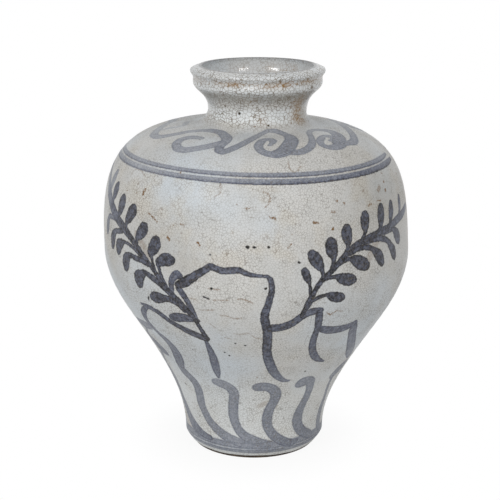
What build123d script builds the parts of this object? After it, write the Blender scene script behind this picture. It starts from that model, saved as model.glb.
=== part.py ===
"""A meiping vase: stoneware thrown in sections, luted together with slip and glazed inside and out.

Every piece is turned about Z from a section in the XZ plane, where x is the radius.  The outside is
a chain of curves that stand upright where they meet at the foot, the belly, the neck and the lip,
whose top slopes up to the rim of the bore.
Origin: the middle of the face that the foot rests on, +Z up.  All sizes are in millimetres.
"""
import os

from build123d import *
from build123d.topology import SkipClean

# Foot
foot_radius = 65.2          # at the top of the bevel
bevel_height = 10.2
bevel_inset = 7.2           # how far the bevel draws the foot in
bevel_round = 1.6           # softens the bevel's upper edge
bare_height = 3.2           # the glaze stops this far above the table
rest_width = 11.0           # the flat ring that the vase stands on
ledge_drop = 2.5            # from the bevel's top down to the ledge that the floor is luted onto

# Wall, from the foot over the belly and the shoulder to the root of the neck
lower_rise = 179.5
belly_radius = 140.0
shoulder_rise = 113.0
root_spread = 14.4          # how far the root of the neck spreads beyond the neck
shoulder_slope = 0.08       # rise over run of the shoulder beside the root

# Neck and mouth
root_rise = 12.8
neck_radius = 44.4
flare_rise = 26.0
flare_spread = 13.8         # how far the bead stands out beyond the neck
throat_rise = 3.7           # from the bead to the hollow under the lip
throat_depth = 0.2
lip_rise = 6.5              # from that hollow to the widest part of the lip
lip_spread = 2.6            # how far the lip stands out beyond the bead
lip_width = 10.6            # from the lip's outer side in to the bore
lip_top = 4.4               # from the lip's widest part up to the corner of its inner edge
lip_slope = 0.28            # fall over run of the lip's top, outward from that edge
rim_round = 2.0             # softens that edge

# Fullness of the curves: the share of its rise or run over which a curve keeps its end direction
foot_fullness = 0.375
under_belly_fullness = 0.28
over_belly_fullness = 0.59
shoulder_fullness = 0.92
root_fullness = 0.57
neck_fullness = 0.65
bead_fullness = 0.315
throat_fullness = 0.40
lip_fullness = 0.60
mouth_fullness = 0.33

# Thicknesses
wall = 7.0
base_thickness = 9.0
glaze = 0.8
slip = 1.0
pool_radius = 6.0           # glaze pooled in the corner round the floor

# Laps of the luted joints
belly_lap = 8.0
neck_lap = 5.0

# Heights and radii that follow
belly_height = bevel_height + lower_rise
root_height = belly_height + shoulder_rise
neck_height = root_height + root_rise
bead_height = neck_height + flare_rise
throat_height = bead_height + throat_rise
lip_height = throat_height + lip_rise
root_radius = neck_radius + root_spread
bead_radius = neck_radius + flare_spread
lip_radius = bead_radius + lip_spread
mouth_radius = lip_radius - lip_width
rim_height = lip_height + lip_top - rim_round
crest_height = lip_height + lip_top - rim_round * lip_slope / (1 + lip_slope)
rest_radius = foot_radius - bevel_inset
rest_bore = rest_radius - rest_width
clay_depth = glaze + wall           # from the glazed outside to the clay's inside
lining_depth = clay_depth + glaze   # and to the glazed inside
seat_radius = foot_radius - clay_depth
ledge_height = bevel_height - ledge_drop
base_underside = ledge_height + slip
base_top = base_underside + base_thickness
floor_height = base_top + glaze

up = Vector(0, 0, 1)


def at(radius, height):
    """A point of the section."""
    return Vector(radius, 0, height)


def upright(start, end, start_fullness, end_fullness):
    """Corners of a curve that leaves one point straight up and reaches the next straight up."""
    rise = up * (end.Z - start.Z)
    return [start, start + rise * start_fullness, end - rise * end_fullness, end]


def parallel(corners, depth):
    """Corners of the curve that lies the given depth to the left: each leg moves over by it."""
    sides = []
    for here, there in zip(corners, corners[1:]):
        leg = (there - here).normalized()
        sides.append(Vector(-leg.Z, 0, leg.X))
    moved = [corners[0] + sides[0] * depth]
    for corner, before, after in zip(corners[1:], sides, sides[1:]):
        moved.append(corner + (before + after) * (depth / (1 + before.dot(after))))
    return [*moved, corners[-1] + sides[-1] * depth]


def curves(chain, depth):
    """The edges of a chain of curves, each laid the given depth to the left."""
    return [Bezier(*parallel(corners, depth)) for corners in chain]


def region(edges):
    """The flat face that a closed chain of edges bounds."""
    return Face(Wire(edges))


def polygon(*corners):
    """The flat face between corners given as radius and height."""
    return Face(Wire.make_polygon([at(*corner) for corner in corners], close=True))


def block(inner, outer, bottom, top):
    """A rectangle of the section, between two radii and two heights."""
    return polygon((inner, bottom), (outer, bottom), (outer, top), (inner, top))


def turned(section):
    """The solid that a section makes when it is turned about the vase's axis."""
    return revolve(section, Axis.Z)


# The outside as it shows, glazed, from the glaze's lower edge up and over the lip to the bore
glaze_edge = at(rest_radius + bevel_inset * bare_height / bevel_height, bare_height)
foot_top = at(foot_radius, bevel_height)
belly = at(belly_radius, belly_height)
root = at(root_radius, root_height)
neck = at(neck_radius, neck_height)
bead = at(bead_radius, bead_height)
throat = at(bead_radius - throat_depth, throat_height)
lip_side = at(lip_radius, lip_height)
bore_top = at(mouth_radius, rim_height)
rim_corner = bore_top + up * rim_round
outward = Vector(1, 0, -lip_slope)
lip_edge = rim_corner + outward * rim_round
shoulder_run = Vector(-1, 0, shoulder_slope) * (belly_radius - root_radius)
root_run = Vector(-1, 0, shoulder_slope) * root_spread

bevel = [glaze_edge, foot_top - up * bevel_round, foot_top]
lower_wall = upright(foot_top, belly, foot_fullness, under_belly_fullness)
shoulder = [
    belly,
    belly + up * shoulder_rise * over_belly_fullness,
    root - shoulder_run * shoulder_fullness,
    root,
]
neck_root = [
    root,
    root + root_run * root_fullness,
    neck - up * root_rise * root_fullness,
    neck,
]
flare = upright(neck, bead, neck_fullness, bead_fullness)
under_throat = upright(bead, throat, throat_fullness, throat_fullness)
over_throat = upright(throat, lip_side, throat_fullness, throat_fullness)
lip_crown = [
    lip_side,
    lip_side + up * (lip_top - lip_width * lip_slope) * lip_fullness,
    lip_edge + outward * (lip_width - rim_round) * lip_fullness,
    lip_edge,
]
rim = [lip_edge, rim_corner, bore_top]
outside = [bevel, lower_wall, shoulder, neck_root, flare, under_throat, over_throat, lip_crown, rim]

# The bore of the mouth as it shows, glazed, from the neck up to the rim
bore_foot = at(neck_radius - lining_depth, neck_height)
bore = upright(bore_foot, bore_top, mouth_fullness, mouth_fullness)


def inside(depth, bore_depth):
    """The inside from the foot up to the rim, at depths from the outside and from the bore."""
    return [*curves([lower_wall, shoulder, neck_root], depth), *curves([bore], bore_depth)]


def clay_wall():
    """All the thrown clay but the floor, as one section: wall, lip and the foot's ledge."""
    outer = curves(outside, glaze)
    inner = inside(clay_depth, -glaze)
    foot = Polyline(
        outer[0] @ 0,
        at(rest_radius, 0),
        at(rest_bore, 0),
        at(rest_bore, ledge_height),
        at(seat_radius, ledge_height),
        inner[0] @ 0,
    )
    return region([*foot.edges(), *outer, *inner])


def below_joint(radius, height, lap):
    """All of the section below a stepped joint: the step up, by the lap, is on the axis side."""
    return polygon(
        (0, 0),
        (belly_radius, 0),
        (belly_radius, height),
        (radius, height),
        (radius, height + lap),
        (0, height + lap),
    )


def luted(section, outer_radius, height, lap):
    """A wall section cut at a lapped joint into the piece below, the slip and the piece above."""
    step = outer_radius - glaze - (wall + slip) / 2
    below = section & below_joint(step, height, lap)
    below_and_slip = section & below_joint(step + slip, height + slip, lap)
    return below, below_and_slip - below, section - below_and_slip


def cavity(depth, bore_depth, bottom):
    """The space inside, up to the rim, at depths from the outside and from the bore."""
    sides = inside(depth, bore_depth)
    middle = Polyline(sides[-1] @ 1, at(0, rim_height), at(0, 0), at(foot_radius - depth, 0), sides[0] @ 0)
    return region([*sides, *middle.edges()]) & block(0, belly_radius, bottom, rim_height)


def outer_coat():
    """The section of the glaze outside, from its edge above the bare foot up and over the lip."""
    shown = curves(outside, 0)
    hidden = curves(outside, glaze)
    lower_edge = Line(shown[0] @ 0, hidden[0] @ 0)
    upper_edge = Line(shown[-1] @ 1, hidden[-1] @ 1)
    return region([*shown, upper_edge, *hidden, lower_edge])


def pooled(lining):
    """The lining with its glaze pooled in the corner round the floor."""
    under_corner, floor_corner, *rim_corners = lining.edges().filter_by(GeomType.CIRCLE).sort_by(Axis.Z)
    return fillet(floor_corner, pool_radius)


# The sections, with their curves left apart, so that each face of a piece is one curve turned
with SkipClean():
    clay = clay_wall()
    lower, belly_slip, upper_and_mouth = luted(clay, belly_radius, belly_height, belly_lap)
    upper, neck_slip, mouth = luted(upper_and_mouth, neck_radius, neck_height, neck_lap)
    base = block(0, seat_radius - slip, base_underside, base_top)
    base_room = block(rest_bore, foot_radius, ledge_height, base_top)
    base_slip = (cavity(clay_depth, -glaze, ledge_height) & base_room) - base
    lining = cavity(clay_depth, -glaze, base_top) - cavity(lining_depth, 0, floor_height)

nodes = {
    "lower_body": turned(lower),
    "base_disc": turned(base),
    "upper_body": turned(upper),
    "neck_mouth": turned(mouth),
    "base_joint_slip": turned(base_slip),
    "belly_joint_slip": turned(belly_slip),
    "neck_joint_slip": turned(neck_slip),
    "outer_glaze": turned(outer_coat()),
    "inner_glaze": pooled(turned(lining)),
}

os.makedirs("parts", exist_ok=True)
for name, shape in nodes.items():
    export_step(shape, f"parts/{name}.step")
print("height", round(crest_height, 1), "diameter", round(2 * belly_radius, 1))
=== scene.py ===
import math
from functools import reduce
from types import SimpleNamespace

import bmesh
import bpy
import numpy as np
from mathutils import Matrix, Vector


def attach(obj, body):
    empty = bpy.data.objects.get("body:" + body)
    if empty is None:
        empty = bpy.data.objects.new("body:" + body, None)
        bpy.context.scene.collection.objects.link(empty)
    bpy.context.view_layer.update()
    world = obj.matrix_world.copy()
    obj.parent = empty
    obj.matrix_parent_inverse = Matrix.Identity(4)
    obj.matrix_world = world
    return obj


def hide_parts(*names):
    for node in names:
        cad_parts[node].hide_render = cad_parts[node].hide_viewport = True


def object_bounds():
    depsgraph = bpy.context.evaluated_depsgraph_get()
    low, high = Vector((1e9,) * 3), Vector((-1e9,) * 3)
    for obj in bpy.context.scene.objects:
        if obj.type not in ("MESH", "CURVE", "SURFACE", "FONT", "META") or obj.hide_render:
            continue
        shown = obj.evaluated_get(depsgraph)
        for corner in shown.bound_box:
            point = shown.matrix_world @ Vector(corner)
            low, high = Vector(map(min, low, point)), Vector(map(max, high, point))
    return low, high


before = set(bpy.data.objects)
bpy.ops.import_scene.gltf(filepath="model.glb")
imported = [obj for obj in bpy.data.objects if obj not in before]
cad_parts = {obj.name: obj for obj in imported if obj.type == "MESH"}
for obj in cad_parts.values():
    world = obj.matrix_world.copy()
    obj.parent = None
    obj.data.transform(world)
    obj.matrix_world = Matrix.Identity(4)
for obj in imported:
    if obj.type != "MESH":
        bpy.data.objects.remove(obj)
cadLow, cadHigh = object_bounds()
mm = 0.001  # forms and strokes are written in millimetres, meshes are in metres
micron = mm / 1000
print("frame loaded:", len(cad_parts), "nodes")

# The turned form. A "Full" value is the share of its rise or run over which a curve keeps its end
# direction.
vaseForm = {
    "restRadius": 58.0, "bareHeight": 3.2, "bevelHeight": 10.2, "bevelRound": 1.6,
    "footRadius": 65.2, "footFull": 0.375, "lowerRise": 179.5, "underBellyFull": 0.28,
    "bellyRadius": cadHigh.x / mm, "overBellyFull": 0.59, "shoulderRise": 113.0, "shoulderFull": 0.92,
    "shoulderSlope": 0.08, "rootSpread": 14.4, "rootRise": 12.8, "rootFull": 0.57,
    "neckRadius": 44.4, "neckFull": 0.65, "flareRise": 26.0, "flareSpread": 13.8, "beadFull": 0.315,
    "throatRise": 3.7, "throatDepth": 0.2, "throatFull": 0.40, "lipRise": 6.5, "lipSpread": 2.6,
    "lipWidth": 10.6, "lipTop": 4.4, "lipSlope": 0.28, "lipFull": 0.60, "rimRound": 2.0, "mouthFull": 0.33,
    "liningDepth": 8.6, "floorHeight": 18.5, "poolRadius": 6.0,
}

# The potter's hand: between heights the wall leans a little off its axis, its shoulder is a little higher
# on the left, and it is not quite even. A "From" or "To" pair says where a mark sets in or ends.
handThrown = {
    "leanSteps": [(20, 130, 3.2), (135, 240, -2.2), (300, 322, 2.1)],  # from height, to height, shift to +X
    "tilt": 0.012, "tiltFrom": (215, 280), "tiltTo": (300, 318),
    "fuller": 1.1, "fullerAt": 168.0, "fullerReach": 34.0,
    "ovalDepth": 0.22, "ovalTwist": 90.0, "ovalFrom": (10, 60),
    "ringDepth": 0.05, "ringPitch": 11.0, "ringFrom": (20, 80), "ringTo": (350, 372),
    "ringWander": 1.7, "ringTwist": 120.0, "ringWobble": 0.8, "rootRingWander": 0.6,
    "rootRingDepth": 0.10, "rootRingPitch": 4.2, "rootRingFrom": (366, 374), "rootRingTo": (386, 394),
}


# Points of a Bezier curve: neighbouring corners are blended by t until one point is left.
def bezier(corners, count=160):
    t = np.linspace(0, 1, count)[:, None]
    blends = [np.asarray(corner, float) + 0 * t for corner in corners]
    while len(blends) > 1:
        blends = [here * (1 - t) + there * t for here, there in zip(blends, blends[1:])]
    return blends[0]


# Corners of a curve that leaves one point straight up and reaches the next straight up.
def upright(start, end, startFull, endFull):
    rise = np.array([0, end[1] - start[1]])
    return [start, start + rise * startFull, end - rise * endFull, end]


# Corners of the curve a given depth to the left: each leg between corners moves over by the depth.
def parallel(corners, depth):
    legs = np.diff(corners, axis=0)
    legs = legs / np.hypot(*legs.T)[:, None]
    sides = np.stack([-legs[:, 1], legs[:, 0]], 1)
    turns = depth / (1 + (sides[:-1] * sides[1:]).sum(1))
    bends = (sides[:-1] + sides[1:]) * turns[:, None]
    return np.asarray(corners) + np.concatenate([sides[:1] * depth, bends, sides[-1:] * depth])


# The section as two lines of (radius, height): the outside from the resting ring up over the lip and down
# the bore to the neck, and the lining from the neck down the inside to the middle of the floor.
def vaseSection(values):
    form = SimpleNamespace(**values)
    up = np.array([0.0, 1.0])
    rest = np.array([form.restRadius, 0.0])
    foot = np.array([form.footRadius, form.bevelHeight])
    belly = np.array([form.bellyRadius, foot[1] + form.lowerRise])
    neck = np.array([form.neckRadius, belly[1] + form.shoulderRise + form.rootRise])
    root = neck + np.array([form.rootSpread, -form.rootRise])
    bead = neck + np.array([form.flareSpread, form.flareRise])
    throat = bead + np.array([-form.throatDepth, form.throatRise])
    lipSide = np.array([bead[0] + form.lipSpread, throat[1] + form.lipRise])
    inward = np.array([-1.0, form.shoulderSlope])
    bare = rest + (foot - rest) * form.bareHeight / form.bevelHeight
    lowerWall = upright(foot, belly, form.footFull, form.underBellyFull)
    shoulder = [belly, belly + up * form.shoulderRise * form.overBellyFull,
                root - inward * (belly[0] - root[0]) * form.shoulderFull, root]
    neckRoot = [root, root + inward * form.rootSpread * form.rootFull,
                neck - up * form.rootRise * form.rootFull, neck]
    outward = np.array([1.0, -form.lipSlope])
    rimCorner = lipSide + np.array([-form.lipWidth, form.lipTop])
    lipEdge, boreTop = rimCorner + outward * form.rimRound, rimCorner - up * form.rimRound
    crown = [lipSide, lipSide + up * (form.lipTop - form.lipWidth * form.lipSlope) * form.lipFull,
             lipEdge + outward * (form.lipWidth - form.rimRound) * form.lipFull, lipEdge]
    boreFoot = neck - np.array([form.liningDepth, 0])
    outside = [bezier([rest, bare]), bezier([bare, foot - up * form.bevelRound, foot]),
               bezier(lowerWall, 900), bezier(shoulder, 900), bezier(neckRoot),
               bezier(upright(neck, bead, form.neckFull, form.beadFull)),
               bezier(upright(bead, throat, form.throatFull, form.throatFull)),
               bezier(upright(throat, lipSide, form.throatFull, form.throatFull)),
               bezier(crown), bezier([lipEdge, rimCorner, boreTop]),
               bezier(upright(boreFoot, boreTop, form.mouthFull, form.mouthFull))[::-1]]
    wall = np.concatenate([bezier(parallel(part, form.liningDepth), 500)
                           for part in (lowerWall, shoulder, neckRoot)])[::-1]
    pool = form.poolRadius
    wall = wall[wall[:, 1] > form.floorHeight + pool]
    bend = np.linspace(0, math.pi / 2, 40)[:, None]
    corner = np.array([wall[-1, 0] - pool, form.floorHeight + pool])
    inside = [wall, corner + pool * np.concatenate([np.cos(bend), -np.sin(bend)], 1),
              np.array([[0.0, form.floorHeight]])]
    return np.concatenate(outside), np.concatenate(inside)


# Distance walked along a line of points.
def walked(line):
    return np.concatenate([[0], np.cumsum(np.hypot(*np.diff(line, axis=0).T))])


outsideLine, insideLine = vaseSection(vaseForm)
outsideWalk, insideWalk = walked(outsideLine), walked(insideLine)
crestWalk = outsideWalk[np.argmax(outsideLine[:, 1])]
rising = outsideWalk <= crestWalk
risingLine, risingWalk = outsideLine[rising], outsideWalk[rising]
print("section: outside", round(outsideWalk[-1]), "mm, inside", round(insideWalk[-1]), "mm")


# Distance along the outside at a height, up to the crest.
def walkAt(height):
    return float(np.interp(height, risingLine[:, 1], risingWalk))


# Radius at distances along the outside, up to the crest.
def radiusAt(distance):
    return np.interp(distance, risingWalk, risingLine[:, 0])


# Radius and height at distances along a line, and the direction that faces out of the glaze there, taken
# across the points a short step behind and ahead.
def onLine(line, walk, distance, step=0.4):
    behind, spot, ahead = [np.stack([np.interp(distance + move, walk, part) for part in line.T], -1)
                           for move in (-step, 0, step)]
    along = ahead - behind
    along = along / np.hypot(along[..., 0], along[..., 1])[..., None]
    return spot, np.stack([along[..., 1], -along[..., 0]], -1)


# A smooth step: 0 below one value, 1 above another, with no corner at either.
def smoothStep(value, low, high):
    t = np.clip((value - low) / (high - low), 0, 1)
    return t * t * (3 - 2 * t)


# 1 between two soft edges and 0 outside them, each edge given by where it sets in and ends.
def between(value, rise, fall):
    return smoothStep(value, *rise) * (1 - smoothStep(value, *fall))


# The short way round from one angle to others, in degrees.
def turnFrom(side, angle):
    return (angle - side + 180) % 360 - 180


# The hand-thrown place of points: each leans by the shifts of all steps up to its height, added, and drops
# by the shoulder's tilt times its x.
def thrown(spots):
    height = spots[..., 2]
    lean = sum(shift * smoothStep(height, low, high) for low, high, shift in handThrown["leanSteps"])
    tilt = handThrown["tilt"] * between(height, handThrown["tiltFrom"], handThrown["tiltTo"])
    return np.stack([spots[..., 0] + lean, spots[..., 1], height - tilt * spots[..., 0]], -1)


# How far the wall stands proud: fuller under the belly, a slow oval that turns with height, throwing rings
# that wander round the vase, and closer rings at the root of the neck.
def potterMarks(angle, distance):
    hand = SimpleNamespace(**handThrown)
    fuller = hand.fuller * np.exp(-((distance - hand.fullerAt) / hand.fullerReach) ** 2)
    oval = hand.ovalDepth * np.sin(2 * angle + distance / hand.ovalTwist)
    oval = oval * smoothStep(distance, *hand.ovalFrom)
    wander = hand.ringWander * np.sin(angle + distance / hand.ringTwist)
    wander = wander + hand.ringWobble * np.sin(3 * angle + 1)
    rings = hand.ringDepth * np.sin(2 * math.pi * distance / hand.ringPitch + wander)
    rings = rings * between(distance, hand.ringFrom, hand.ringTo)
    rootWander = hand.rootRingWander * np.sin(angle)
    rootRings = np.sin(2 * math.pi * distance / hand.rootRingPitch + rootWander)
    rootRings = hand.rootRingDepth * rootRings * between(distance, hand.rootRingFrom, hand.rootRingTo)
    return fuller + oval + rings + rootRings


# A turned grid: radius and height go round the axis, angle 0 facing -Y and growing towards +X.
def turnedGrid(radius, height, angle):
    return thrown(np.stack([radius * np.sin(angle), -radius * np.cos(angle), height], -1)) * mm


# A closed mesh from a grid that joins its ends both ways; rows on the axis become one point.
def gridMesh(name, grid, attributes):
    rows, columns = grid.shape[:2]
    index = np.arange(rows * columns).reshape(rows, columns)
    beside = np.roll(index, -1, 1)
    quads = np.stack([index, beside, np.roll(beside, -1, 0), np.roll(index, -1, 0)], -1).reshape(-1, 4)
    mesh = bpy.data.meshes.new(name)
    mesh.vertices.add(rows * columns)
    mesh.vertices.foreach_set("co", grid.astype(np.float32).ravel())
    mesh.loops.add(quads.size)
    mesh.loops.foreach_set("vertex_index", quads.astype(np.int32).ravel())
    mesh.polygons.add(len(quads))
    mesh.polygons.foreach_set("loop_start", np.arange(0, quads.size, 4, dtype=np.int32))
    mesh.update(calc_edges=True)
    for label, values in attributes.items():
        kind, field = ("FLOAT_VECTOR", "vector") if values.ndim == 3 else ("FLOAT", "value")
        layer = mesh.attributes.new(label, kind, "POINT")
        layer.data.foreach_set(field, values.astype(np.float32).ravel())
    rowWidths = np.hypot(*(grid - grid[:, :1])[..., :2].transpose(2, 0, 1)).max(1)
    if rowWidths.min() < micron:
        mergeDoubles(mesh)
    mesh.shade_smooth()
    return mesh


# Points closer together than a micrometre become one.
def mergeDoubles(mesh):
    work = bmesh.new()
    work.from_mesh(mesh)
    bmesh.ops.remove_doubles(work, verts=work.verts, dist=micron)
    bmesh.ops.dissolve_degenerate(work, edges=work.edges, dist=micron)
    work.to_mesh(mesh)
    work.free()


# A finished piece: linked, dressed, riding on the body and standing for its node.
def addPiece(name, mesh, material, slot, *nodes):
    piece = bpy.data.objects.new(name, mesh)
    bpy.context.scene.collection.objects.link(piece)
    mesh.materials.clear()
    mesh.materials.append(material)
    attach(piece, "root")
    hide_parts(*nodes)


# The brush painting. A stroke is rows of angle round the vase (degrees, 0 at the front, growing to the
# right), distance up the outside from the table (mm) and width (mm). Its tone, from 0 (bare) to 1 (black),
# is one value or several spread along it.
strokes = []

# The shape of a leaf: shares of its width from its base to its tip, the share of its width by which the tip
# is drawn back, the most of its outer half that this may take, and the millimetres a degree spans there.
leafShape = {"swell": (0.36, 0.80, 1.0, 0.97, 0.66), "drawnBack": 0.32, "most": 0.9, "degree": 1.9}


# A stroke of the brush.
def brush(tone, path):
    strokes.append((np.atleast_1d(np.array(tone, float)), np.array(path, float)))


# A leaf: a thin stalk, then a body that swells from its base to the middle and closes in a round tip, which
# is drawn back by about a third of the width.
def leaf(tone, width, stalkWidth, path):
    path = np.array(path, float)
    base, middle, tip = path[-3:]
    outerHalf = max(1.0, np.hypot(*(tip - middle) * (leafShape["degree"], 1)))
    end = tip + (middle - tip) * min(leafShape["most"], leafShape["drawnBack"] * width / outerHalf)
    body = [base, (base + middle) / 2, middle, (middle + end) / 2, end]
    swell = np.array(leafShape["swell"]) * width
    swell[0] = max(swell[0], stalkWidth)
    widths = [stalkWidth] * (len(path) - 3) + list(swell)
    brush(tone, np.column_stack([np.concatenate([path[:-3], body]), widths]))


# A dot, or a line of one width through several spots, given as its tone, its width and the spots.
def fineMark(row):
    tone, size, *spots = row
    return np.array([tone], float), np.array([(*spot, size) for spot in spots], float)


# The rocks in the middle: three ridges, each with a long stroke that falls at its right, and a hook.
def paintRock():
    brush([0.88, 0.82, 0.75, 0.73, 0.7], [
        (-27.6, 206.4, 6), (-25, 209.6, 8.2), (-23, 212.6, 7.6), (-20, 218, 6.5), (-17, 223, 5.5),
        (-14.9, 226.3, 4.8), (-13.3, 224.6, 5), (-10.9, 223, 5.2), (-7.4, 223.7, 5.2), (-5, 223.8, 4.8),
        (-3.4, 221.8, 4), (-1.6, 220.3, 3.4), (1.8, 219.2, 2.3), (4.4, 218.7, 2)])
    brush([0.7, 0.79, 0.79, 0.79, 0.75, 0.6, 0.5], [
        (4.2, 218.8, 1.8), (5.2, 216.6, 3.6), (5.7, 212, 4.4), (5.7, 206, 4.6), (5.1, 200, 4.8),
        (4.3, 193, 5.2), (3.4, 186, 6.2), (3.1, 179.5, 7), (3.5, 173.5, 7.3), (4.2, 166, 7.4),
        (4.4, 152, 7.4), (4.5, 138.7, 7.4), (5.2, 129, 7.8), (6.7, 119.2, 7.8), (9.1, 108.6, 7.6),
        (12.7, 99.6, 5.8), (16.6, 94.6, 3.4), (19, 94, 1.4)])
    brush([0.72, 0.66, 0.76], [
        (-30.4, 201, 4.2), (-30.4, 207.5, 5), (-29.4, 212.6, 6.2), (-27.8, 215.4, 6.6), (-26.8, 214.4, 5)])
    brush([0.78, 0.72], [
        (5.6, 168.6, 7.8), (8.5, 168.8, 8), (11.5, 170.7, 7.8), (14.2, 174.4, 7.2), (16.8, 179.8, 6.8),
        (19.6, 183, 6.6), (21.9, 184, 6.4), (23.8, 184, 5)])
    brush([0.74, 0.72, 0.68, 0.62], [
        (23.6, 184.4, 4), (23.6, 178, 6.4), (24, 170, 6.2), (24.2, 163, 5.6), (24, 156.5, 5.6),
        (24.1, 148, 6), (24.8, 139.6, 6.2), (26.2, 132, 6.3), (29.2, 123, 6), (32.7, 117, 4),
        (36.1, 113.8, 1)])
    brush([0.7, 0.66], [
        (25.6, 163, 5.5), (28.6, 159.8, 8), (32.6, 157.8, 8.4), (36.6, 157.2, 8.2), (39.6, 157.8, 7.6),
        (42, 159.4, 6.6)])
    brush([0.64, 0.54], [
        (42.6, 161, 5), (43.4, 155, 8), (46.1, 142.5, 9), (51.2, 127, 10), (57, 113.5, 10.4),
        (61.5, 105.5, 7)])


# The bank at the left of the rocks: its ridge, its fall, a short bar and a riser.
def paintBank():
    brush([0.62, 0.74, 0.78, 0.86], [
        (-49, 177.5, 1.6), (-44.3, 176.4, 4.8), (-40.3, 173.6, 5.8), (-38, 170.2, 5.8), (-36.3, 167, 5.6),
        (-33.6, 163.6, 6), (-30.1, 159.8, 6.8), (-27, 156.4, 7.4), (-23.6, 153.3, 7.8), (-21, 151.3, 7)])
    brush([0.7, 0.62, 0.55], [
        (-21.3, 148, 2.4), (-20.9, 137, 5.2), (-20.6, 124.5, 7.2), (-20.8, 114.5, 7.4), (-20.9, 104.6, 5.8),
        (-20.8, 96.8, 1.4)])
    brush(0.74, [
        (-22, 173, 3), (-25, 174, 6.4), (-28.2, 173.8, 8.8), (-31.5, 172.4, 9), (-33.4, 171.2, 6.6)])
    brush([0.66, 0.72, 0.74], [
        (-22.6, 172, 4), (-23.3, 182, 4.5), (-24, 188, 5), (-25, 194, 5), (-26.5, 200, 5.5),
        (-27.6, 203.6, 5)])


# The spray to the left: its stem, the leaves above it and then the leaves below it.
def paintLeftSpray():
    brush([0.86, 0.84, 0.82, 0.8, 0.78, 0.6, 0.4], [
        (-20.8, 153, 5.5), (-21.2, 157, 4.2), (-22.2, 166, 3.6), (-23, 172, 3.8), (-23.8, 177, 4.2),
        (-25.9, 184, 4.8), (-27.8, 190, 5.2), (-30.3, 195.3, 6), (-32.1, 199, 6), (-33.6, 203, 5),
        (-35.2, 207.5, 4.2), (-36.7, 212, 3.8), (-38.5, 216.5, 3.8), (-40.2, 220.5, 4), (-43.5, 227.5, 5),
        (-48, 236.5, 5.8), (-54, 245.5, 7.5), (-59.5, 251.5, 8.6), (-66, 259.5, 9.6), (-72, 268.5, 9.2),
        (-78, 279, 7), (-84, 289, 4)])
    dark = 0.82
    leaf(dark, 10.5, 2.6, [
        (-31.8, 199.5), (-33, 205), (-34.5, 211.5), (-35.4, 217.5), (-36.2, 223), (-32.5, 227.5),
        (-28.2, 228.3)])
    leaf(dark, 11.3, 2.6, [
        (-37, 213), (-38, 219), (-38.8, 226), (-39.7, 231), (-37.3, 238), (-35.8, 246.5)])
    leaf(dark, 10.5, 3, [(-43.8, 228.5), (-46.2, 234), (-46.4, 240.3), (-43.4, 248.8), (-41.4, 255.8)])
    leaf(dark, 11, 3, [(-48.5, 237.5), (-52.4, 244), (-53, 252.4), (-50.3, 261), (-48.3, 268.1)])
    leaf(0.78, 10.5, 3.4, [(-55.8, 246), (-58, 250.5), (-58.7, 256), (-57.6, 265), (-56.8, 274)])
    leaf(0.7, 10, 3.2, [(-66, 259), (-65.5, 266), (-65, 273.5), (-64, 281.5)])
    leaf(0.42, 9, 4, [(-73, 266), (-72, 271), (-71, 279), (-69.6, 290)])
    leaf(dark, 11.5, 5, [(-33.5, 201), (-36, 205), (-39, 208.3), (-43, 210.5), (-46, 205), (-46.4, 195.2)])
    leaf(dark, 10.7, 6, [
        (-26.5, 183), (-28.3, 187.7), (-30.8, 190.8), (-34, 191.3), (-38, 190.2), (-41.8, 188)])
    leaf(dark, 10.5, 4.5, [
        (-40.8, 219.5), (-43.5, 221.5), (-47.4, 222), (-51.5, 222.5), (-53.4, 216.5), (-53.7, 206.4)])
    leaf(dark, 10.5, 2.8, [
        (-44.5, 226), (-46.5, 229), (-49.6, 232.2), (-55, 233), (-58.4, 228), (-59.4, 218.8)])
    leaf(0.76, 9.5, 4.4, [(-55.5, 243.5), (-58.5, 241.5), (-61.5, 239.5), (-63.6, 233), (-64.5, 221)])
    leaf(0.55, 8, 4, [(-62, 251), (-66, 250.5), (-68.5, 249), (-69.8, 242), (-70.8, 232)])


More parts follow.
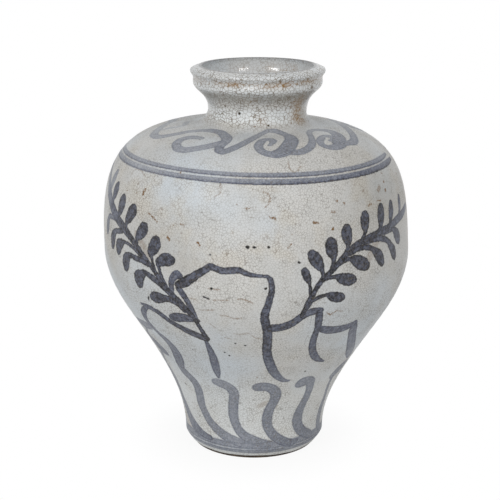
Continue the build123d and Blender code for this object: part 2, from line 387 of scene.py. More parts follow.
# The spray to the right, in the same order.
def paintRightSpray():
    brush([0.84, 0.82, 0.82, 0.8, 0.78, 0.7, 0.55], [
        (16.6, 180, 3), (17.6, 186, 4.2), (18.8, 192, 5.6), (20, 199.2, 4.4), (21.8, 206.7, 3.8),
        (24.2, 213.2, 4.2), (27, 218, 4.4), (29.4, 222.6, 4.6), (31.9, 227.7, 4.8), (34.6, 232.4, 5),
        (38.2, 236.7, 5.2), (42.3, 239.6, 5.2), (49, 241.8, 5.6), (58, 243.5, 6.6), (64, 246, 7),
        (71, 248, 7), (79, 251.5, 5)])
    dark = 0.84
    leaf(dark, 6.8, 2.4, [(19.6, 198), (19.2, 205), (19, 211), (17.9, 217.5), (17.2, 224.6)])
    leaf(dark, 10.6, 3, [(24.3, 212), (24.2, 216.6), (23.8, 221), (21.6, 230), (19.3, 238.4)])
    leaf(dark, 11.2, 3, [(27.3, 219), (28.1, 223.7), (28.6, 229.3), (27.8, 238), (27.4, 247.4)])
    leaf(dark, 10.6, 3, [(32.3, 228.5), (33.7, 233.3), (34.9, 239), (34.3, 247.5), (34.5, 256.5)])
    leaf(dark, 10, 3.2, [(39.6, 238), (41.8, 241.5), (43, 246.5), (43.3, 256), (44, 264.5)])
    leaf(dark, 9.6, 3.2, [(49.3, 243), (51.8, 246.5), (52.6, 256.5), (53.5, 267)])
    leaf(0.78, 8.2, 3.2, [(57, 243.5), (58.7, 247), (60, 256), (61, 266)])
    leaf(0.66, 6.4, 3, [(67, 250), (68, 252), (69, 258.5), (70, 267)])
    leaf(dark, 9, 2.8, [
        (19.3, 193.5), (21, 195.6), (22.8, 197.4), (25.8, 198.3), (29.6, 194.8), (33.4, 192.4)])
    leaf(dark, 10.2, 3.2, [(24.2, 212.3), (26.7, 213.6), (29.3, 213.2), (33.4, 209.6), (38.2, 207.3)])
    leaf(dark, 11.5, 3.4, [(30.8, 223.8), (33.3, 226.3), (35.8, 226.2), (40, 221.3), (44.7, 215.4)])
    leaf(dark, 9.8, 4.4, [
        (35, 231), (38, 233), (41, 233.6), (44.5, 232), (47, 229), (50, 222.5), (52.3, 213)])
    leaf(0.8, 9, 5.2, [(42.5, 238), (47.5, 238), (52.5, 236), (56.6, 230.5), (59.6, 222), (61.3, 213.5)])
    leaf(0.74, 10.5, 4.6, [(53, 241), (57, 240.8), (61, 239), (63.6, 233), (65.8, 225)])


# The waves of the two sides: two crests at each, the second further round and a little higher, and the
# shape that a wave falls in from its curled crest to the foot, as steps from its crest.
sideWaves = {
    "crests": (84.0, 264.0), "second": 25.0, "height": 88.0, "climb": 1 / 12, "tones": [0.45, 0.46, 0.47],
}
waveFall = [
    (-7.4, -1, 4.6), (-4, 0.6, 6.8), (0, -1.4, 7.2), (3.2, -7.4, 8), (4.3, -15, 7.8), (3.6, -23, 7.6),
    (2.4, -31, 7.6), (1.5, -38.5, 8.2), (1.6, -46, 8.6), (3.2, -53.4, 8.4), (7, -60, 8.4), (13, -66.4, 8.6),
    (20.4, -70.8, 7),
]


# The waves over the foot as they lie in front, each from its crest down.
def paintWaves():
    brush([0.42, 0.45, 0.45, 0.46], [
        (-23.4, 89.4, 8.6), (-21.4, 88.4, 10), (-18.6, 86.8, 10.2), (-15.3, 82.8, 9.6), (-13.6, 76.8, 8.9),
        (-14.1, 68.2, 8.6), (-15, 59, 8.5), (-15.5, 49.5, 8.3), (-14.5, 40.3, 7.9), (-12.2, 32.8, 7.9),
        (-8, 26.7, 8.6), (-2, 22.6, 8.6), (5, 19.2, 8), (13, 17, 6)])
    brush([0.66, 0.62, 0.58, 0.6, 0.56], [
        (-46.5, 175, 3.6), (-50.7, 166.6, 6.4), (-52.4, 157.6, 6.2), (-51.3, 149.6, 5.2),
        (-48.9, 141.6, 5.4), (-46, 135, 7.4), (-44.4, 128.4, 9.6), (-43.9, 120.4, 11.2), (-45, 109.6, 11.6),
        (-46.4, 102, 10)])
    brush([0.52, 0.48, 0.45, 0.44, 0.44], [
        (-46.8, 97.5, 9), (-45.2, 91.3, 10.2), (-42.2, 86.2, 9.4), (-40.3, 81, 9.2), (-39.8, 73.3, 9.2),
        (-40.6, 63.2, 9), (-41.5, 53.8, 8.8), (-40.1, 45.3, 8.8), (-37.2, 37.3, 8.6), (-32, 30.5, 8.8),
        (-25.8, 25.3, 9), (-18.6, 21.3, 8.8), (-11, 18.6, 8), (-3, 16.8, 6)])
    brush([0.56, 0.5], [(-66, 144, 7.5), (-59.5, 145, 9.5), (-54, 146.8, 8)])
    brush([0.4, 0.44, 0.54, 0.52], [
        (-60, 140, 2), (-63.5, 132, 2.6), (-65.5, 126, 8), (-63.2, 121, 13.5), (-59.6, 115.5, 14),
        (-56, 112, 9)])
    brush([0.42, 0.44, 0.5, 0.58], [
        (-60, 112, 2), (-66, 100, 5), (-70, 85, 7), (-71, 70, 7), (-69, 55, 6.5), (-66, 42, 7),
        (-62, 31, 9.5), (-55.5, 24, 10), (-46.8, 19.8, 7), (-38.2, 18, 5)])
    brush([0.46, 0.47, 0.48, 0.55], [
        (1, 86.2, 9.4), (3, 86.8, 10.6), (6.2, 86.4, 10.2), (9.8, 83.2, 9.6), (12.3, 77.6, 9.4),
        (12.8, 71, 9), (11.8, 64, 8.6), (10.2, 56.8, 8.4), (9.4, 49.8, 8.6), (9.4, 42.8, 8.6),
        (10.8, 34.8, 8), (14.2, 28, 8.3), (20, 21.3, 8.6), (27.3, 16.5, 8), (33, 15.2, 6), (37, 16.2, 3)])
    brush([0.46, 0.47, 0.48], [
        (27, 86.2, 10), (28.2, 87.6, 12), (30.8, 88.4, 11.4), (33.4, 86.8, 9.4), (35.2, 81, 7.6),
        (36.4, 72.5, 7.4), (36.4, 63.7, 7.8), (35.5, 55.6, 8.4), (34.6, 47.6, 9.4), (34.6, 39.6, 10),
        (37, 31.2, 9.5), (43, 23, 9.4), (51.4, 17.5, 8)])
    brush([0.46, 0.44], [
        (55.2, 81, 4), (57.8, 67, 3.6), (61.8, 54, 4.6), (63.6, 41, 8), (64.6, 30, 8.6), (66, 22, 8),
        (69, 16.5, 6)])
    brush([0.48, 0.44], [(62, 93, 10), (58.5, 89, 14), (55.2, 84.6, 11)])


# The running scroll on the shoulder: a line that climbs over a crest and drops to the next valley, and a
# curl that turns back from the drop; both are steps from the valley.
scrollCrest = [
    (-45, 2, 7), (-41, 3.5, 7.4), (-37.5, 8, 7.4), (-34, 16, 7.2), (-31, 25, 7.2), (-27, 33, 7.4),
    (-20, 39, 8), (-12, 40, 8.4), (-4, 37.5, 8.8), (0.6, 30, 9), (1.8, 21, 8.4), (1.2, 12, 7.8),
    (0, 5, 7.2),
]
scrollCurl = [
    (-12.4, 10, 4.2), (-10, 13, 5.4), (-8, 17, 6), (-8.4, 21.5, 6.4), (-11, 24, 7), (-14.6, 23.4, 7.4),
    (-17.4, 19.5, 7.6), (-18.6, 13, 7.6), (-18, 6.5, 7.6), (-15.8, 2, 7.8), (-12.6, -0.6, 8),
    (-8.8, -1, 8.4), (-5, 0.8, 8.6), (-2, 4.6, 9), (0, 10, 9),
]

# The scroll round the back: its valleys, the tones of its crests and of a curl's two halves, and how its
# two shapes are scaled and how far up they start.
backScroll = {
    "valleys": (118.0, 158.0, 198.0, 238.0), "tones": [0.40, 0.36, 0.40],
    "innerTones": [0.42, 0.40], "outerTones": [0.40, 0.44],
    "crestScale": (0.89, 0.48, 1), "crestFrom": 330.0, "curlScale": (1, 0.6, 0.85), "curlFrom": 327.0,
}


# The scroll band: as it lies in front, stroke by stroke, then its two shapes carried round the back.
def paintScrolls():
    brush([0.34, 0.24, 0.18, 0.18, 0.24, 0.28], [
        (238, 334, 6.5), (242, 336, 7), (245.5, 340, 7), (248, 344, 7), (251, 347, 7.4), (255, 348.5, 7.6),
        (260, 348, 7.4), (264, 346.5, 7.2), (270, 344, 7.2), (276, 340.5, 7.4), (282, 336, 7.6),
        (287.5, 333, 7.2), (291, 332.4, 6)])
    brush(0.12, [(268, 366, 3.5), (279, 363.5, 4.5), (283, 356.5, 5), (282.4, 349, 4.5), (281.8, 343, 3.5)])
    brush([0.29, 0.34, 0.38, 0.44], [
        (-73, 332.5, 5.5), (-66.5, 333.3, 7), (-62, 339.5, 7.4), (-58.5, 347.5, 7.4), (-56.3, 356, 7.4),
        (-53.2, 362, 7.4), (-48.5, 368, 7.8), (-39, 370.6, 8), (-31, 369.5, 8.4), (-25.4, 364.5, 9),
        (-20.2, 356.5, 9), (-18.9, 346.5, 7.8), (-19.6, 338, 7.2), (-19, 332.8, 6.8)])
    brush([0.48, 0.46, 0.4, 0.34], [
        (-19.8, 336, 6.2), (-19, 332, 6.8), (-16.8, 330.2, 7.2), (-13.8, 333.6, 7.2), (-11.4, 338, 7),
        (-8.8, 343.5, 6.8), (-5.8, 350.5, 6.8), (-2, 359.5, 6.4), (1.2, 366.5, 6), (5.5, 373, 4.6),
        (12, 377.5, 3.4)])
    brush([0.3, 0.4, 0.4], [
        (-36.8, 349.5, 5), (-40.5, 349.2, 6.6), (-44, 347.4, 7.6), (-47, 342, 8), (-47.2, 337, 8),
        (-45.8, 332, 7.6), (-42.6, 327.6, 7.2)])
    brush([0.4, 0.38, 0.38, 0.42], [
        (-44.6, 330, 7), (-42.6, 327.6, 7.2), (-38, 326.2, 7.4), (-33, 329.4, 7.8), (-29.8, 332.6, 8),
        (-27, 335.6, 8.4), (-23.4, 340.6, 8.8), (-20.5, 345.5, 8.4)])
    brush([0.3, 0.42, 0.48, 0.48], [
        (12, 377.5, 3.4), (19.8, 376.5, 5.6), (25, 371.5, 7.6), (26.8, 362, 9.6), (24.4, 352, 11.6),
        (20.8, 344.5, 12.6), (17.8, 338.5, 12.4), (14.2, 333, 10.6), (10.4, 329.6, 8.6)])
    brush([0.38, 0.42, 0.42], [
        (8.2, 344.5, 3.6), (10, 348.5, 5), (12, 353.5, 5.6), (10.5, 357, 6.2), (8, 357, 6.6), (4.4, 353, 7),
        (2.2, 346, 7)])
    brush([0.42, 0.44, 0.46], [
        (3.2, 350, 7), (1.8, 343, 7), (2.4, 336, 7.2), (4.4, 331.6, 7.6), (7.2, 329, 8), (10.2, 328, 8.6),
        (15, 331, 9.4), (18.8, 336.5, 9.4)])
    brush([0.46, 0.44, 0.4, 0.36, 0.36, 0.42, 0.46], [
        (17, 331, 6.6), (20.8, 330, 7), (25.8, 331.8, 7.2), (31.2, 337, 6.8), (36.5, 345, 5.8),
        (40, 351.5, 5), (43.6, 358, 4.6), (47.6, 364, 4.4), (53, 367.6, 4.6), (59.5, 367.6, 5.4),
        (64.6, 363.2, 7), (66.8, 356, 9.4), (65.4, 350, 10.8), (61.4, 344, 11.6), (56.5, 339.5, 11.6),
        (51, 335, 10.4)])
    brush([0.38, 0.42], [
        (49.2, 342, 3.4), (53.5, 344, 4.6), (56, 347.5, 5.6), (54.4, 350.4, 6), (49.4, 350.2, 6.2),
        (45, 347.6, 6.2)])
    brush([0.4, 0.44, 0.46], [
        (47.5, 349.4, 6.2), (43, 345.6, 6.2), (40, 338.5, 6.4), (40.8, 333.6, 6.8), (43.6, 331.4, 7.6),
        (47.4, 331, 8.6), (52, 333, 9.6)])
    brush([0.46, 0.44, 0.36, 0.26, 0.2, 0.2, 0.32], [
        (54, 333, 6.6), (58.2, 332.2, 7.6), (61.6, 330.6, 7.6), (66.5, 332, 7), (73, 336, 6.6),
        (80, 340.4, 6.6), (88, 344.4, 6.8), (97, 347, 7), (106, 348.6, 7.2), (113, 349, 7.6),
        (118, 347, 8.2), (121, 343, 8.2), (121, 338, 7.6), (119, 333, 7)])
    back = SimpleNamespace(**backScroll)
    for valley in back.valleys[1:]:
        brush(back.tones, np.array(scrollCrest) * back.crestScale + (valley, back.crestFrom, 0))
    for valley in back.valleys:
        curl = np.array(scrollCurl) * back.curlScale + (valley, back.curlFrom, 0)
        brush(back.innerTones, curl[:7])
        brush(back.outerTones, curl[5:])


# Lines that go round the vase: distance along the outside, width, how much higher they run at the left, the
# angle where the brush starts, the share of the round where it ends, the layer, how much darker the line is
# per millimetre towards its lower edge, and the tones it runs through to the left and round the back.
roundLines = [
    {"distance": 297.9, "width": 4.3, "rise": 1.1, "start": 82.0, "end": 0.965, "layer": 4, "slope": 0.065,
     "tones": [0.66, 0.63, 0.49, 0.36, 0.36, 0.42, 0.48, 0.54, 0.62]},
    {"distance": 304.3, "width": 3.5, "rise": 0.4, "start": 80.0, "end": 0.970, "layer": 3, "slope": 0.060,
     "tones": [0.50, 0.50, 0.46, 0.40, 0.36, 0.42, 0.45, 0.50, 0.56]},
    {"distance": 16.9, "width": 5.6, "rise": 0.0, "start": 168.0, "end": 0.985, "layer": 4, "slope": 0.0,
     "tones": [0.46, 0.43, 0.41, 0.44, 0.43, 0.41, 0.43]},
    {"distance": 10.7, "width": 3.2, "rise": 0.0, "start": 140.0, "end": 0.985, "layer": 3, "slope": 0.0,
     "tones": [0.46, 0.42, 0.44, 0.40, 0.42]},
]


# Dark pinholes in the glaze, as angle, distance and width, and paler specks as rows of fineMark.
pinholeTone = 1.2
pinholes = [
    (-2.7, 243.5, 2.3), (-0.4, 243.5, 1.8), (4.5, 243.5, 1.4), (15, 229.4, 1.4), (-15.6, 206.8, 1.4),
    (3.2, 208.2, 1.2), (-21, 393.5, 1.2), (13.5, 383, 1.2), (-12.7, 130.6, 1), (-14.7, 134.6, 0.7),
    (-5.2, 146.2, 0.9), (26.5, 104.2, 0.8), (-51.7, 74.6, 1), (-30.7, 131.6, 0.6), (-9.2, 148.6, 0.6),
]
specks = [
    (0.85, 0.7, (-15.7, 235.8)), (0.92, 0.9, (-43, 189), (-43.6, 185.4)),
    (0.8, 0.6, (-18.6, 198.6), (-16.8, 197.2)),
]

# Rust in the glaze, as rows of fineMark, laid on a layer of its own. The unseen sides carry a like scatter
# of the first marks, fainter, turned round the vase and a little shifted.
rustRows = [
    (0.8, 1.4, (-56.2, 277)), (0.9, 1.6, (-46, 277.5), (-45.5, 281.5)), (0.4, 1, (-49.8, 277)),
    (0.7, 0.8, (-41.5, 263), (-38.8, 260), (-37, 257.5)), (0.6, 0.7, (-29.9, 256.5), (-29.6, 258)),
    (0.6, 0.7, (-27.6, 259), (-25.5, 258)), (0.7, 2, (-32, 246), (-31.4, 244.8)),
    (0.9, 0.9, (-20.2, 245), (-19.5, 243)), (0.35, 0.6, (-13.2, 295.5), (-13, 287.5), (-14.8, 284)),
    (0.5, 0.9, (-6.5, 278.5)),
    (0.6, 0.6, (-3.8, 275.9), (-2.8, 275), (-1.7, 276), (-0.6, 275.3), (0.4, 276.2)), (0.5, 0.8, (0, 272)),
    (0.5, 0.7, (-1.6, 269.2), (-0.6, 268.8)), (0.35, 0.8, (-7.8, 255)),
    (0.45, 0.7, (3, 289), (4.8, 288), (5.5, 283.5), (4.2, 278), (2.8, 275.5)), (0.8, 1, (2.8, 275.5)),
    (0.8, 0.9, (5.2, 268.5), (7.2, 267)), (0.65, 2.2, (20.9, 262), (22.2, 261.2)), (0.5, 0.9, (18.2, 262)),
    (0.5, 0.8, (22.5, 256)), (1, 1.6, (28.2, 255)), (0.4, 1, (12.8, 253.5)),
    (0.8, 0.7, (11.2, 241.5), (12.2, 245.5)), (0.5, 1.2, (31.5, 289.5)), (0.45, 1.4, (31, 285)),
    (1, 1.3, (31.2, 277.5)), (0.9, 1.1, (34, 275)), (0.45, 1.8, (28.4, 269.4), (29.8, 268.8)),
    (0.7, 1.2, (59.8, 285.5), (58.8, 283)), (0.8, 1.2, (58.8, 280), (58.2, 277)), (0.7, 1.1, (49.5, 275.5)),
    (0.5, 0.9, (60.5, 293), (61.5, 290)), (0.4, 3, (55, 282), (53, 279)),
    (0.8, 1.1, (53.2, 270.5), (51, 272.4)), (0.6, 0.9, (48, 269), (47, 270.6), (45.6, 268.6)),
    (0.3, 0.6, (-56.8, 288.5), (-57.2, 293), (-52.5, 296), (-48, 292)), (0.45, 0.9, (-57, 283)),
    (0.7, 0.8, (-31.6, 303.2), (-31, 299.6)),
    (0.35, 0.6, (15, 317.5), (14.5, 313), (16.2, 306.5), (19.8, 312.5)),
    (0.42, 0.5, (-16.8, 206.6), (-12.8, 206.1)), (0.36, 0.5, (-24, 195.6), (-21.6, 195.1)),
    (0.4, 0.5, (-14.8, 196.6), (-11.2, 196.7), (-9, 197.8)),
    (0.45, 0.7, (-6.8, 198.6), (-4.6, 198.6), (-2.8, 197), (-1.2, 195)),
    (0.36, 0.5, (-20.8, 185.6), (-17.6, 185.7), (-14.4, 187.4)),
    (0.38, 0.5, (-13.6, 181.4), (-11.4, 181.4), (-8.9, 179.1), (-5.6, 179.6)),
    (0.3, 0.4, (-18, 171), (-13.8, 162.6)),
    (0.38, 0.6, (-9.6, 161.6), (-6.4, 160.6), (-4, 162.4), (0, 155.6), (2, 155.6)),
    (0.4, 0.5, (-14.8, 160), (-12, 155), (-8.6, 153.4)),
    (0.6, 0.6, (25.8, 181), (27.8, 177.6), (30, 180.6), (32.8, 179)), (0.5, 0.8, (-30.2, 82.4)),
    (0.6, 0.8, (0.2, 101)), (0.6, 0.8, (-1.8, 382.5)), (0.25, 6, (-47, 243), (-44, 236), (-40, 226)),
    (0.22, 7, (50, 240), (47, 232), (44, 224)), (0.25, 5, (14, 60), (8, 66), (3, 62)),
    (0.32, 8, (-84, 40), (-76, 30), (-66, 22)),
]
rustAgain = {
    "count": 28, "turns": (132.0, 201.0), "strength": 0.8,
    "cycle": 4, "turnStep": 9, "lift": 8, "dropStep": 5,
}


# All rust marks: those of the rows, then the scatter of the unseen sides.
def allRust(rows, again):
    marks = [fineMark(row) for row in rows]
    for turn in again["turns"]:
        for number, (strength, path) in enumerate(marks[:again["count"]]):
            step = number % again["cycle"]
            shift = (turn + again["turnStep"] * step, again["lift"] - again["dropStep"] * step, 0)
            marks.append((strength * again["strength"], path + shift))
    return marks


# Rocks and sprays climb to the right a little more than they are written: above a distance every row rises
# by a share of its x, less a little, and all rows turn a little to the left. The waves are lifted.
spraySettle = {"turn": -0.5, "from": 212.0, "to": 242.0, "slope": 0.013, "lift": -0.3}
waveLift = 0.9


# A path with its rows turned and raised in that way.
def settled(path, settle):
    across = radiusAt(path[:, 1]) * np.sin(np.radians(path[:, 0]))
    share = smoothStep(path[:, 1], settle["from"], settle["to"])
    rise = share * (settle["slope"] * across + settle["lift"])
    return path + np.column_stack([0 * rise + settle["turn"], rise, 0 * rise])


paintRock()
paintBank()
paintLeftSpray()
paintRightSpray()
strokes[:] = [(tone, settled(path, spraySettle)) for tone, path in strokes]
laid = len(strokes)
paintWaves()
strokes[laid:] = [(tone, path + (0, waveLift, 0)) for tone, path in strokes[laid:]]
strokes += [(tone, path + (180, 0, 0)) for tone, path in strokes]  # the back answers the front
for crest in sideWaves["crests"]:
    for turn in (0.0, sideWaves["second"]):
        top = sideWaves["height"] + sideWaves["climb"] * turn
        brush(sideWaves["tones"], np.array(waveFall) + (crest + turn, top, 0))
paintScrolls()
strokes += [fineMark((pinholeTone, size, (angle, distance))) for angle, distance, size in pinholes]
strokes += [fineMark(row) for row in specks]
rustMarks = allRust(rustRows, rustAgain)
print("painting:", len(strokes), "strokes")

# How strokes are laid: on so many layers, this far apart on one layer, sampled at these steps and worked
# out as far as "reach" past their edges. They spread, and lie a little more to the left and higher than
# written. A point further than "seam" off its stroke gives way to a neighbour's nearer one, and a bare
# point has the half width "bareHalf".
brushWork = {
    "layers": 5, "room": 11.0, "step": 0.7, "looseStep": 3.0, "reach": 4.6, "otherRun": 14.0, "spread": 0.5,
    "turn": 0.25, "lift": 0.45, "shoulderLift": 0.9, "shoulderFrom": 270.0, "shoulderTo": 340.0,
    "seam": 0.3, "bareHalf": -9.0, "farOff": 99.0, "leastRadius": 20.0,
}


# The path of a stroke as samples: a cubic through its rows whose slope at a row joins the rows beside it.
def sampled(path, step):
    flat = np.column_stack([np.radians(path[:, 0]) * radiusAt(path[:, 1]), path[:, 1]])
    at = walked(flat)
    if at[-1] < step:
        return path[:1], np.zeros(1)
    slope = np.gradient(path, at, axis=0)
    where = np.linspace(0, at[-1], max(2, int(at[-1] / step)))
    row = np.clip(np.searchsorted(at, where, side="right") - 1, 0, len(at) - 2)
    span = (at[row + 1] - at[row])[:, None]
    u = (where[:, None] - at[row][:, None]) / span
    curve = (path[row] * (1 + 2 * u) * (1 - u) ** 2 + path[row + 1] * u * u * (3 - 2 * u)
             + span * (slope[row] * u * (1 - u) ** 2 - slope[row + 1] * u * u * (1 - u)))
    return curve, where / at[-1]


# Samples of a stroke with the vase's radius there, for telling how far two strokes are apart.
def looseSamples(path):
    curve = sampled(path, brushWork["looseStep"])[0]
    return np.column_stack([curve, radiusAt(curve[:, 1])])


# The smallest clear distance between two strokes, edge to edge.
def clearance(one, other):
    one, other = one[:, None], other[None]
    across = np.radians(turnFrom(other[..., 0], one[..., 0])) * (one[..., 3] + other[..., 3]) / 2
    apart = np.hypot(across, one[..., 1] - other[..., 1])
    return (apart - one[..., 2] / 2 - other[..., 2] / 2).min()


# Each stroke goes on the first layer where its neighbours are far enough off, or else on the roomiest.
def sortLayers(count, room):
    layers = [[] for layer in range(count)]
    for number, (_, path) in enumerate(strokes):
        flat = looseSamples(path)
        free = [min([clearance(flat, other) for _, other in layer], default=brushWork["farOff"])
                for layer in layers]
        chosen = next((k for k, gap in enumerate(free) if gap > room), int(np.argmax(free)))
        layers[chosen].append((number, flat))
    return [[strokes[number] for number, _ in layer] for layer in layers]


# Where grid points stand to one stroke: how far to its side, how far past its end, its half width there,
# its tone, and how far along it they are. Only the points within reach are worked out.
def besideStroke(tone, path, angle, distance, radius, reach):
    curve, share = sampled(path, brushWork["step"])
    middle = (curve[:, 0].min() + curve[:, 0].max()) / 2
    reach = reach + curve[:, 2].max() / 2
    offset = turnFrom(middle, angle)
    near = (distance > curve[:, 1].min() - reach) & (distance < curve[:, 1].max() + reach)
    turn = np.degrees(reach / np.maximum(radius, brushWork["leastRadius"]))
    near &= np.abs(offset) < (curve[:, 0].max() - middle) + turn
    spots = np.nonzero(near)
    scale = np.radians(1.0) * radius[spots]
    across = (offset[spots][:, None] - (curve[:, 0] - middle)) * scale[:, None]
    rise = distance[spots][:, None] - curve[:, 1]
    nearest = np.argmin(np.hypot(across, rise) - curve[:, 2] / 4, axis=1)
    pick = np.arange(len(nearest))
    across, rise = across[pick, nearest], rise[pick, nearest]
    half = curve[nearest, 2] / 2
    shade = np.interp(share[nearest], np.linspace(0, 1, len(tone)), tone)
    if len(curve) == 1:
        return spots, across, rise, half, shade, 0 * half
    lead = np.gradient(curve[:, :2], axis=0)[nearest] * np.stack([scale, np.ones_like(scale)], 1)
    lead = lead / np.hypot(lead[:, 0], lead[:, 1])[:, None]
    aside = lead[:, 0] * rise - lead[:, 1] * across
    along = lead[:, 0] * across + lead[:, 1] * rise
    past = np.where(nearest == 0, np.maximum(-along, 0), 0)
    past = np.where(nearest == len(curve) - 1, np.maximum(along, 0), past)
    return spots, aside, past, half, shade, nearest * brushWork["step"]


# How the brush goes round: the sine of the angle where a line's rise is used up, how far it wanders, how
# its width swells and flutters, the shares of the round in which it sets in and thins out, its least width,
# and how its tone drifts.
roundHand = {
    "level": 0.35, "wander": 0.21, "swell": 0.10, "flutter": 0.06,
    "setsIn": (-0.01, 0.035), "thinsOut": 0.03, "least": 0.25, "drift": 0.02,
}


# The same for a line that goes round the vase: it wanders a little, its width swells and tapers at its two
# ends, and its tone rises towards its lower edge.
def besideLine(line, angle, distance, radius, reach):
    hand = SimpleNamespace(**roundHand)
    turn = np.radians(angle)
    climb = line["rise"] * ((hand.level - np.sin(turn)) / (1 + hand.level)) ** 2
    aside = distance - line["distance"] - climb - hand.wander * np.sin(3 * turn + line["distance"])
    run = (line["start"] - angle) % 360 / 360
    taper = between(run, hand.setsIn, (line["end"] - hand.thinsOut, line["end"]))
    swell = 1 + hand.swell * np.sin(turn) + hand.flutter * np.sin(5 * turn + 1)
    half = line["width"] / 2 * swell * (hand.least + (1 - hand.least) * taper)
    past = np.maximum(run - line["end"], 0) * 2 * math.pi * radius
    shade = np.interp(run, np.linspace(0, 1, len(line["tones"])), line["tones"])
    shade = shade + hand.drift * np.sin(9 * turn) - line["slope"] * aside
    spots = np.nonzero(np.hypot(aside, past) - half < reach)
    return spots, *[part[spots] for part in (aside, past, half, shade, 0 * aside)]


# Lays the strokes on a grid of angles and distances, layer by layer; a point belongs to the stroke whose
# edge is nearest. A point out of reach, or one whose neighbour on the grid belongs to another stroke, or to
# another run of the same one, that is nearer, is marked bare by a half width far below 0.
def layPaint(layers, angle, distance, radius, work):
    ink = np.zeros((len(layers), *angle.shape, 3))
    tones = np.zeros((len(layers), *angle.shape))
    grid = angle, distance, radius, work["reach"]
    for layer, marks in enumerate(layers):
        best = np.full(angle.shape, work["farOff"])
        owner = np.full(angle.shape, -1)
        reached = np.zeros(angle.shape)
        stands = [besideStroke(*mark, *grid) for mark in marks]
        stands += [besideLine(line, *grid) for line in roundLines if line["layer"] == layer]
        for number, (spots, aside, past, half, shade, where) in enumerate(stands):
            gap = np.hypot(aside, past) - half
            better = gap < best[spots]
            spots = tuple(part[better] for part in spots)
            best[spots], owner[spots], reached[spots] = gap[better], number, where[better]
            ink[(layer, *spots)] = np.stack([aside, past, half], 1)[better]
            tones[(layer, *spots)] = shade[better]
        bare = best > work["reach"]
        for down in (-1, 0, 1):
            for over in (-1, 0, 1):
                other = [np.roll(part, (down, over), (0, 1)) for part in (best, owner, reached)]
                stranger = (other[1] != owner) | (np.abs(other[2] - reached) > work["otherRun"])
                bare |= stranger & (other[1] >= 0) & (best > work["seam"]) & (best > other[0])
        ink[layer][bare, 2] = work["bareHalf"]
    return ink, tones


# Where the neck is stained: in the hollow under the lip, in the cove, at the root and down the bore. Each
# stain is a hill over distance and angle: distance, its reach, angle, its reach, strength.
hollow, coveWalk, rootWalk, boreWalk = walkAt(346), walkAt(330.5), walkAt(311), crestWalk + 10.5
neckStains = [
    (hollow, 3, 0, 400, 0.5), (hollow, 2.4, -21, 7, 0.8), (hollow, 2, -2, 5, 0.5),
    (hollow - 1.5, 2.2, 7, 6, 0.6), (hollow - 1.5, 3, 20, 5, 1), (hollow + 1, 2, 31, 8, 1),
    (hollow + 1.5, 1.8, 46, 7, 0.6), (hollow, 2.6, 120, 30, 0.7), (hollow, 2.6, -140, 26, 0.7),
    (coveWalk, 5, -7, 7, 0.5), (rootWalk + 2, 7, 60, 15, 0.9), (rootWalk + 9, 11, 50, 14, 0.9),
    (coveWalk, 7, 48, 14, 0.7), (rootWalk - 2, 6, -75, 15, 0.5), (rootWalk + 2, 7, 8, 12, 0.4),
    (rootWalk, 7, 150, 22, 0.6), (rootWalk, 6, -160, 18, 0.5), (boreWalk, 3.5, 141, 11, 1),
    (boreWalk, 3.2, 165, 12, 0.7), (boreWalk, 3, 200, 16, 0.5), (boreWalk + 8, 7, -40, 25, 0.6),
]

# Where the glaze is a little darker, as hills of the same kind: partly painted shade on the right of the
# shoulder and of the neck, partly darker patches of the glaze itself.
darkPatchAndShadePlaces = [
    (240, 22, -36, 14, 0.30), (222, 14, -25, 8, 0.22), (268, 32, 54, 16, 0.36), (300, 18, 46, 12, 0.20),
    (321, 16, -50, 14, 0.18), (rootWalk + 4, 9, 62, 14, 0.65), (coveWalk, 6, 44, 12, 0.2),
    (235, 30, 140, 20, 0.3), (262, 26, 215, 24, 0.3),
]


# Hills over the outside, added up to 1 at most.
def hills(places, angle, walk):
    total = np.zeros(angle.shape)
    for middle, reach, side, width, strength in places:
        total += strength * np.exp(-((walk - middle) / reach) ** 2 - (turnFrom(side, angle) / width) ** 2)
    return np.minimum(total, 1.0)


# Rows of the outer glaze up the outside, over the lip and down the bore, and of its hidden side back again.
# The rim's rows lie from before to after the crest, and the lower edge is a wavy bead with three runs; its
# waves are written as share, times round and start.
outerGlaze = {
    "columns": 380, "bodyRows": 138, "neckRows": 50, "rimRows": 12, "boreRows": 10,
    "hiddenNeck": 28, "hiddenBody": 18, "glazeDepth": 0.78,
    "neckFrom": 366.0, "rimFrom": -2.0, "rimTo": 4.0,
    "edgeRows": (0.0, 0.35, 0.8, 1.4, 2.2), "bodyFrom": 3.2, "edgeSunk": 0.35, "edgeReach": 9.0,
    "edgeBead": 0.40, "beadAt": 1.1, "edgeWave": 0.36, "waves": [(1.0, 3, 0.5), (0.6, 7, 2), (0.5, 16, 0)],
    "edgeRun": 1.56, "runSides": (42, 150, 250), "runWidth": 30.0,
}


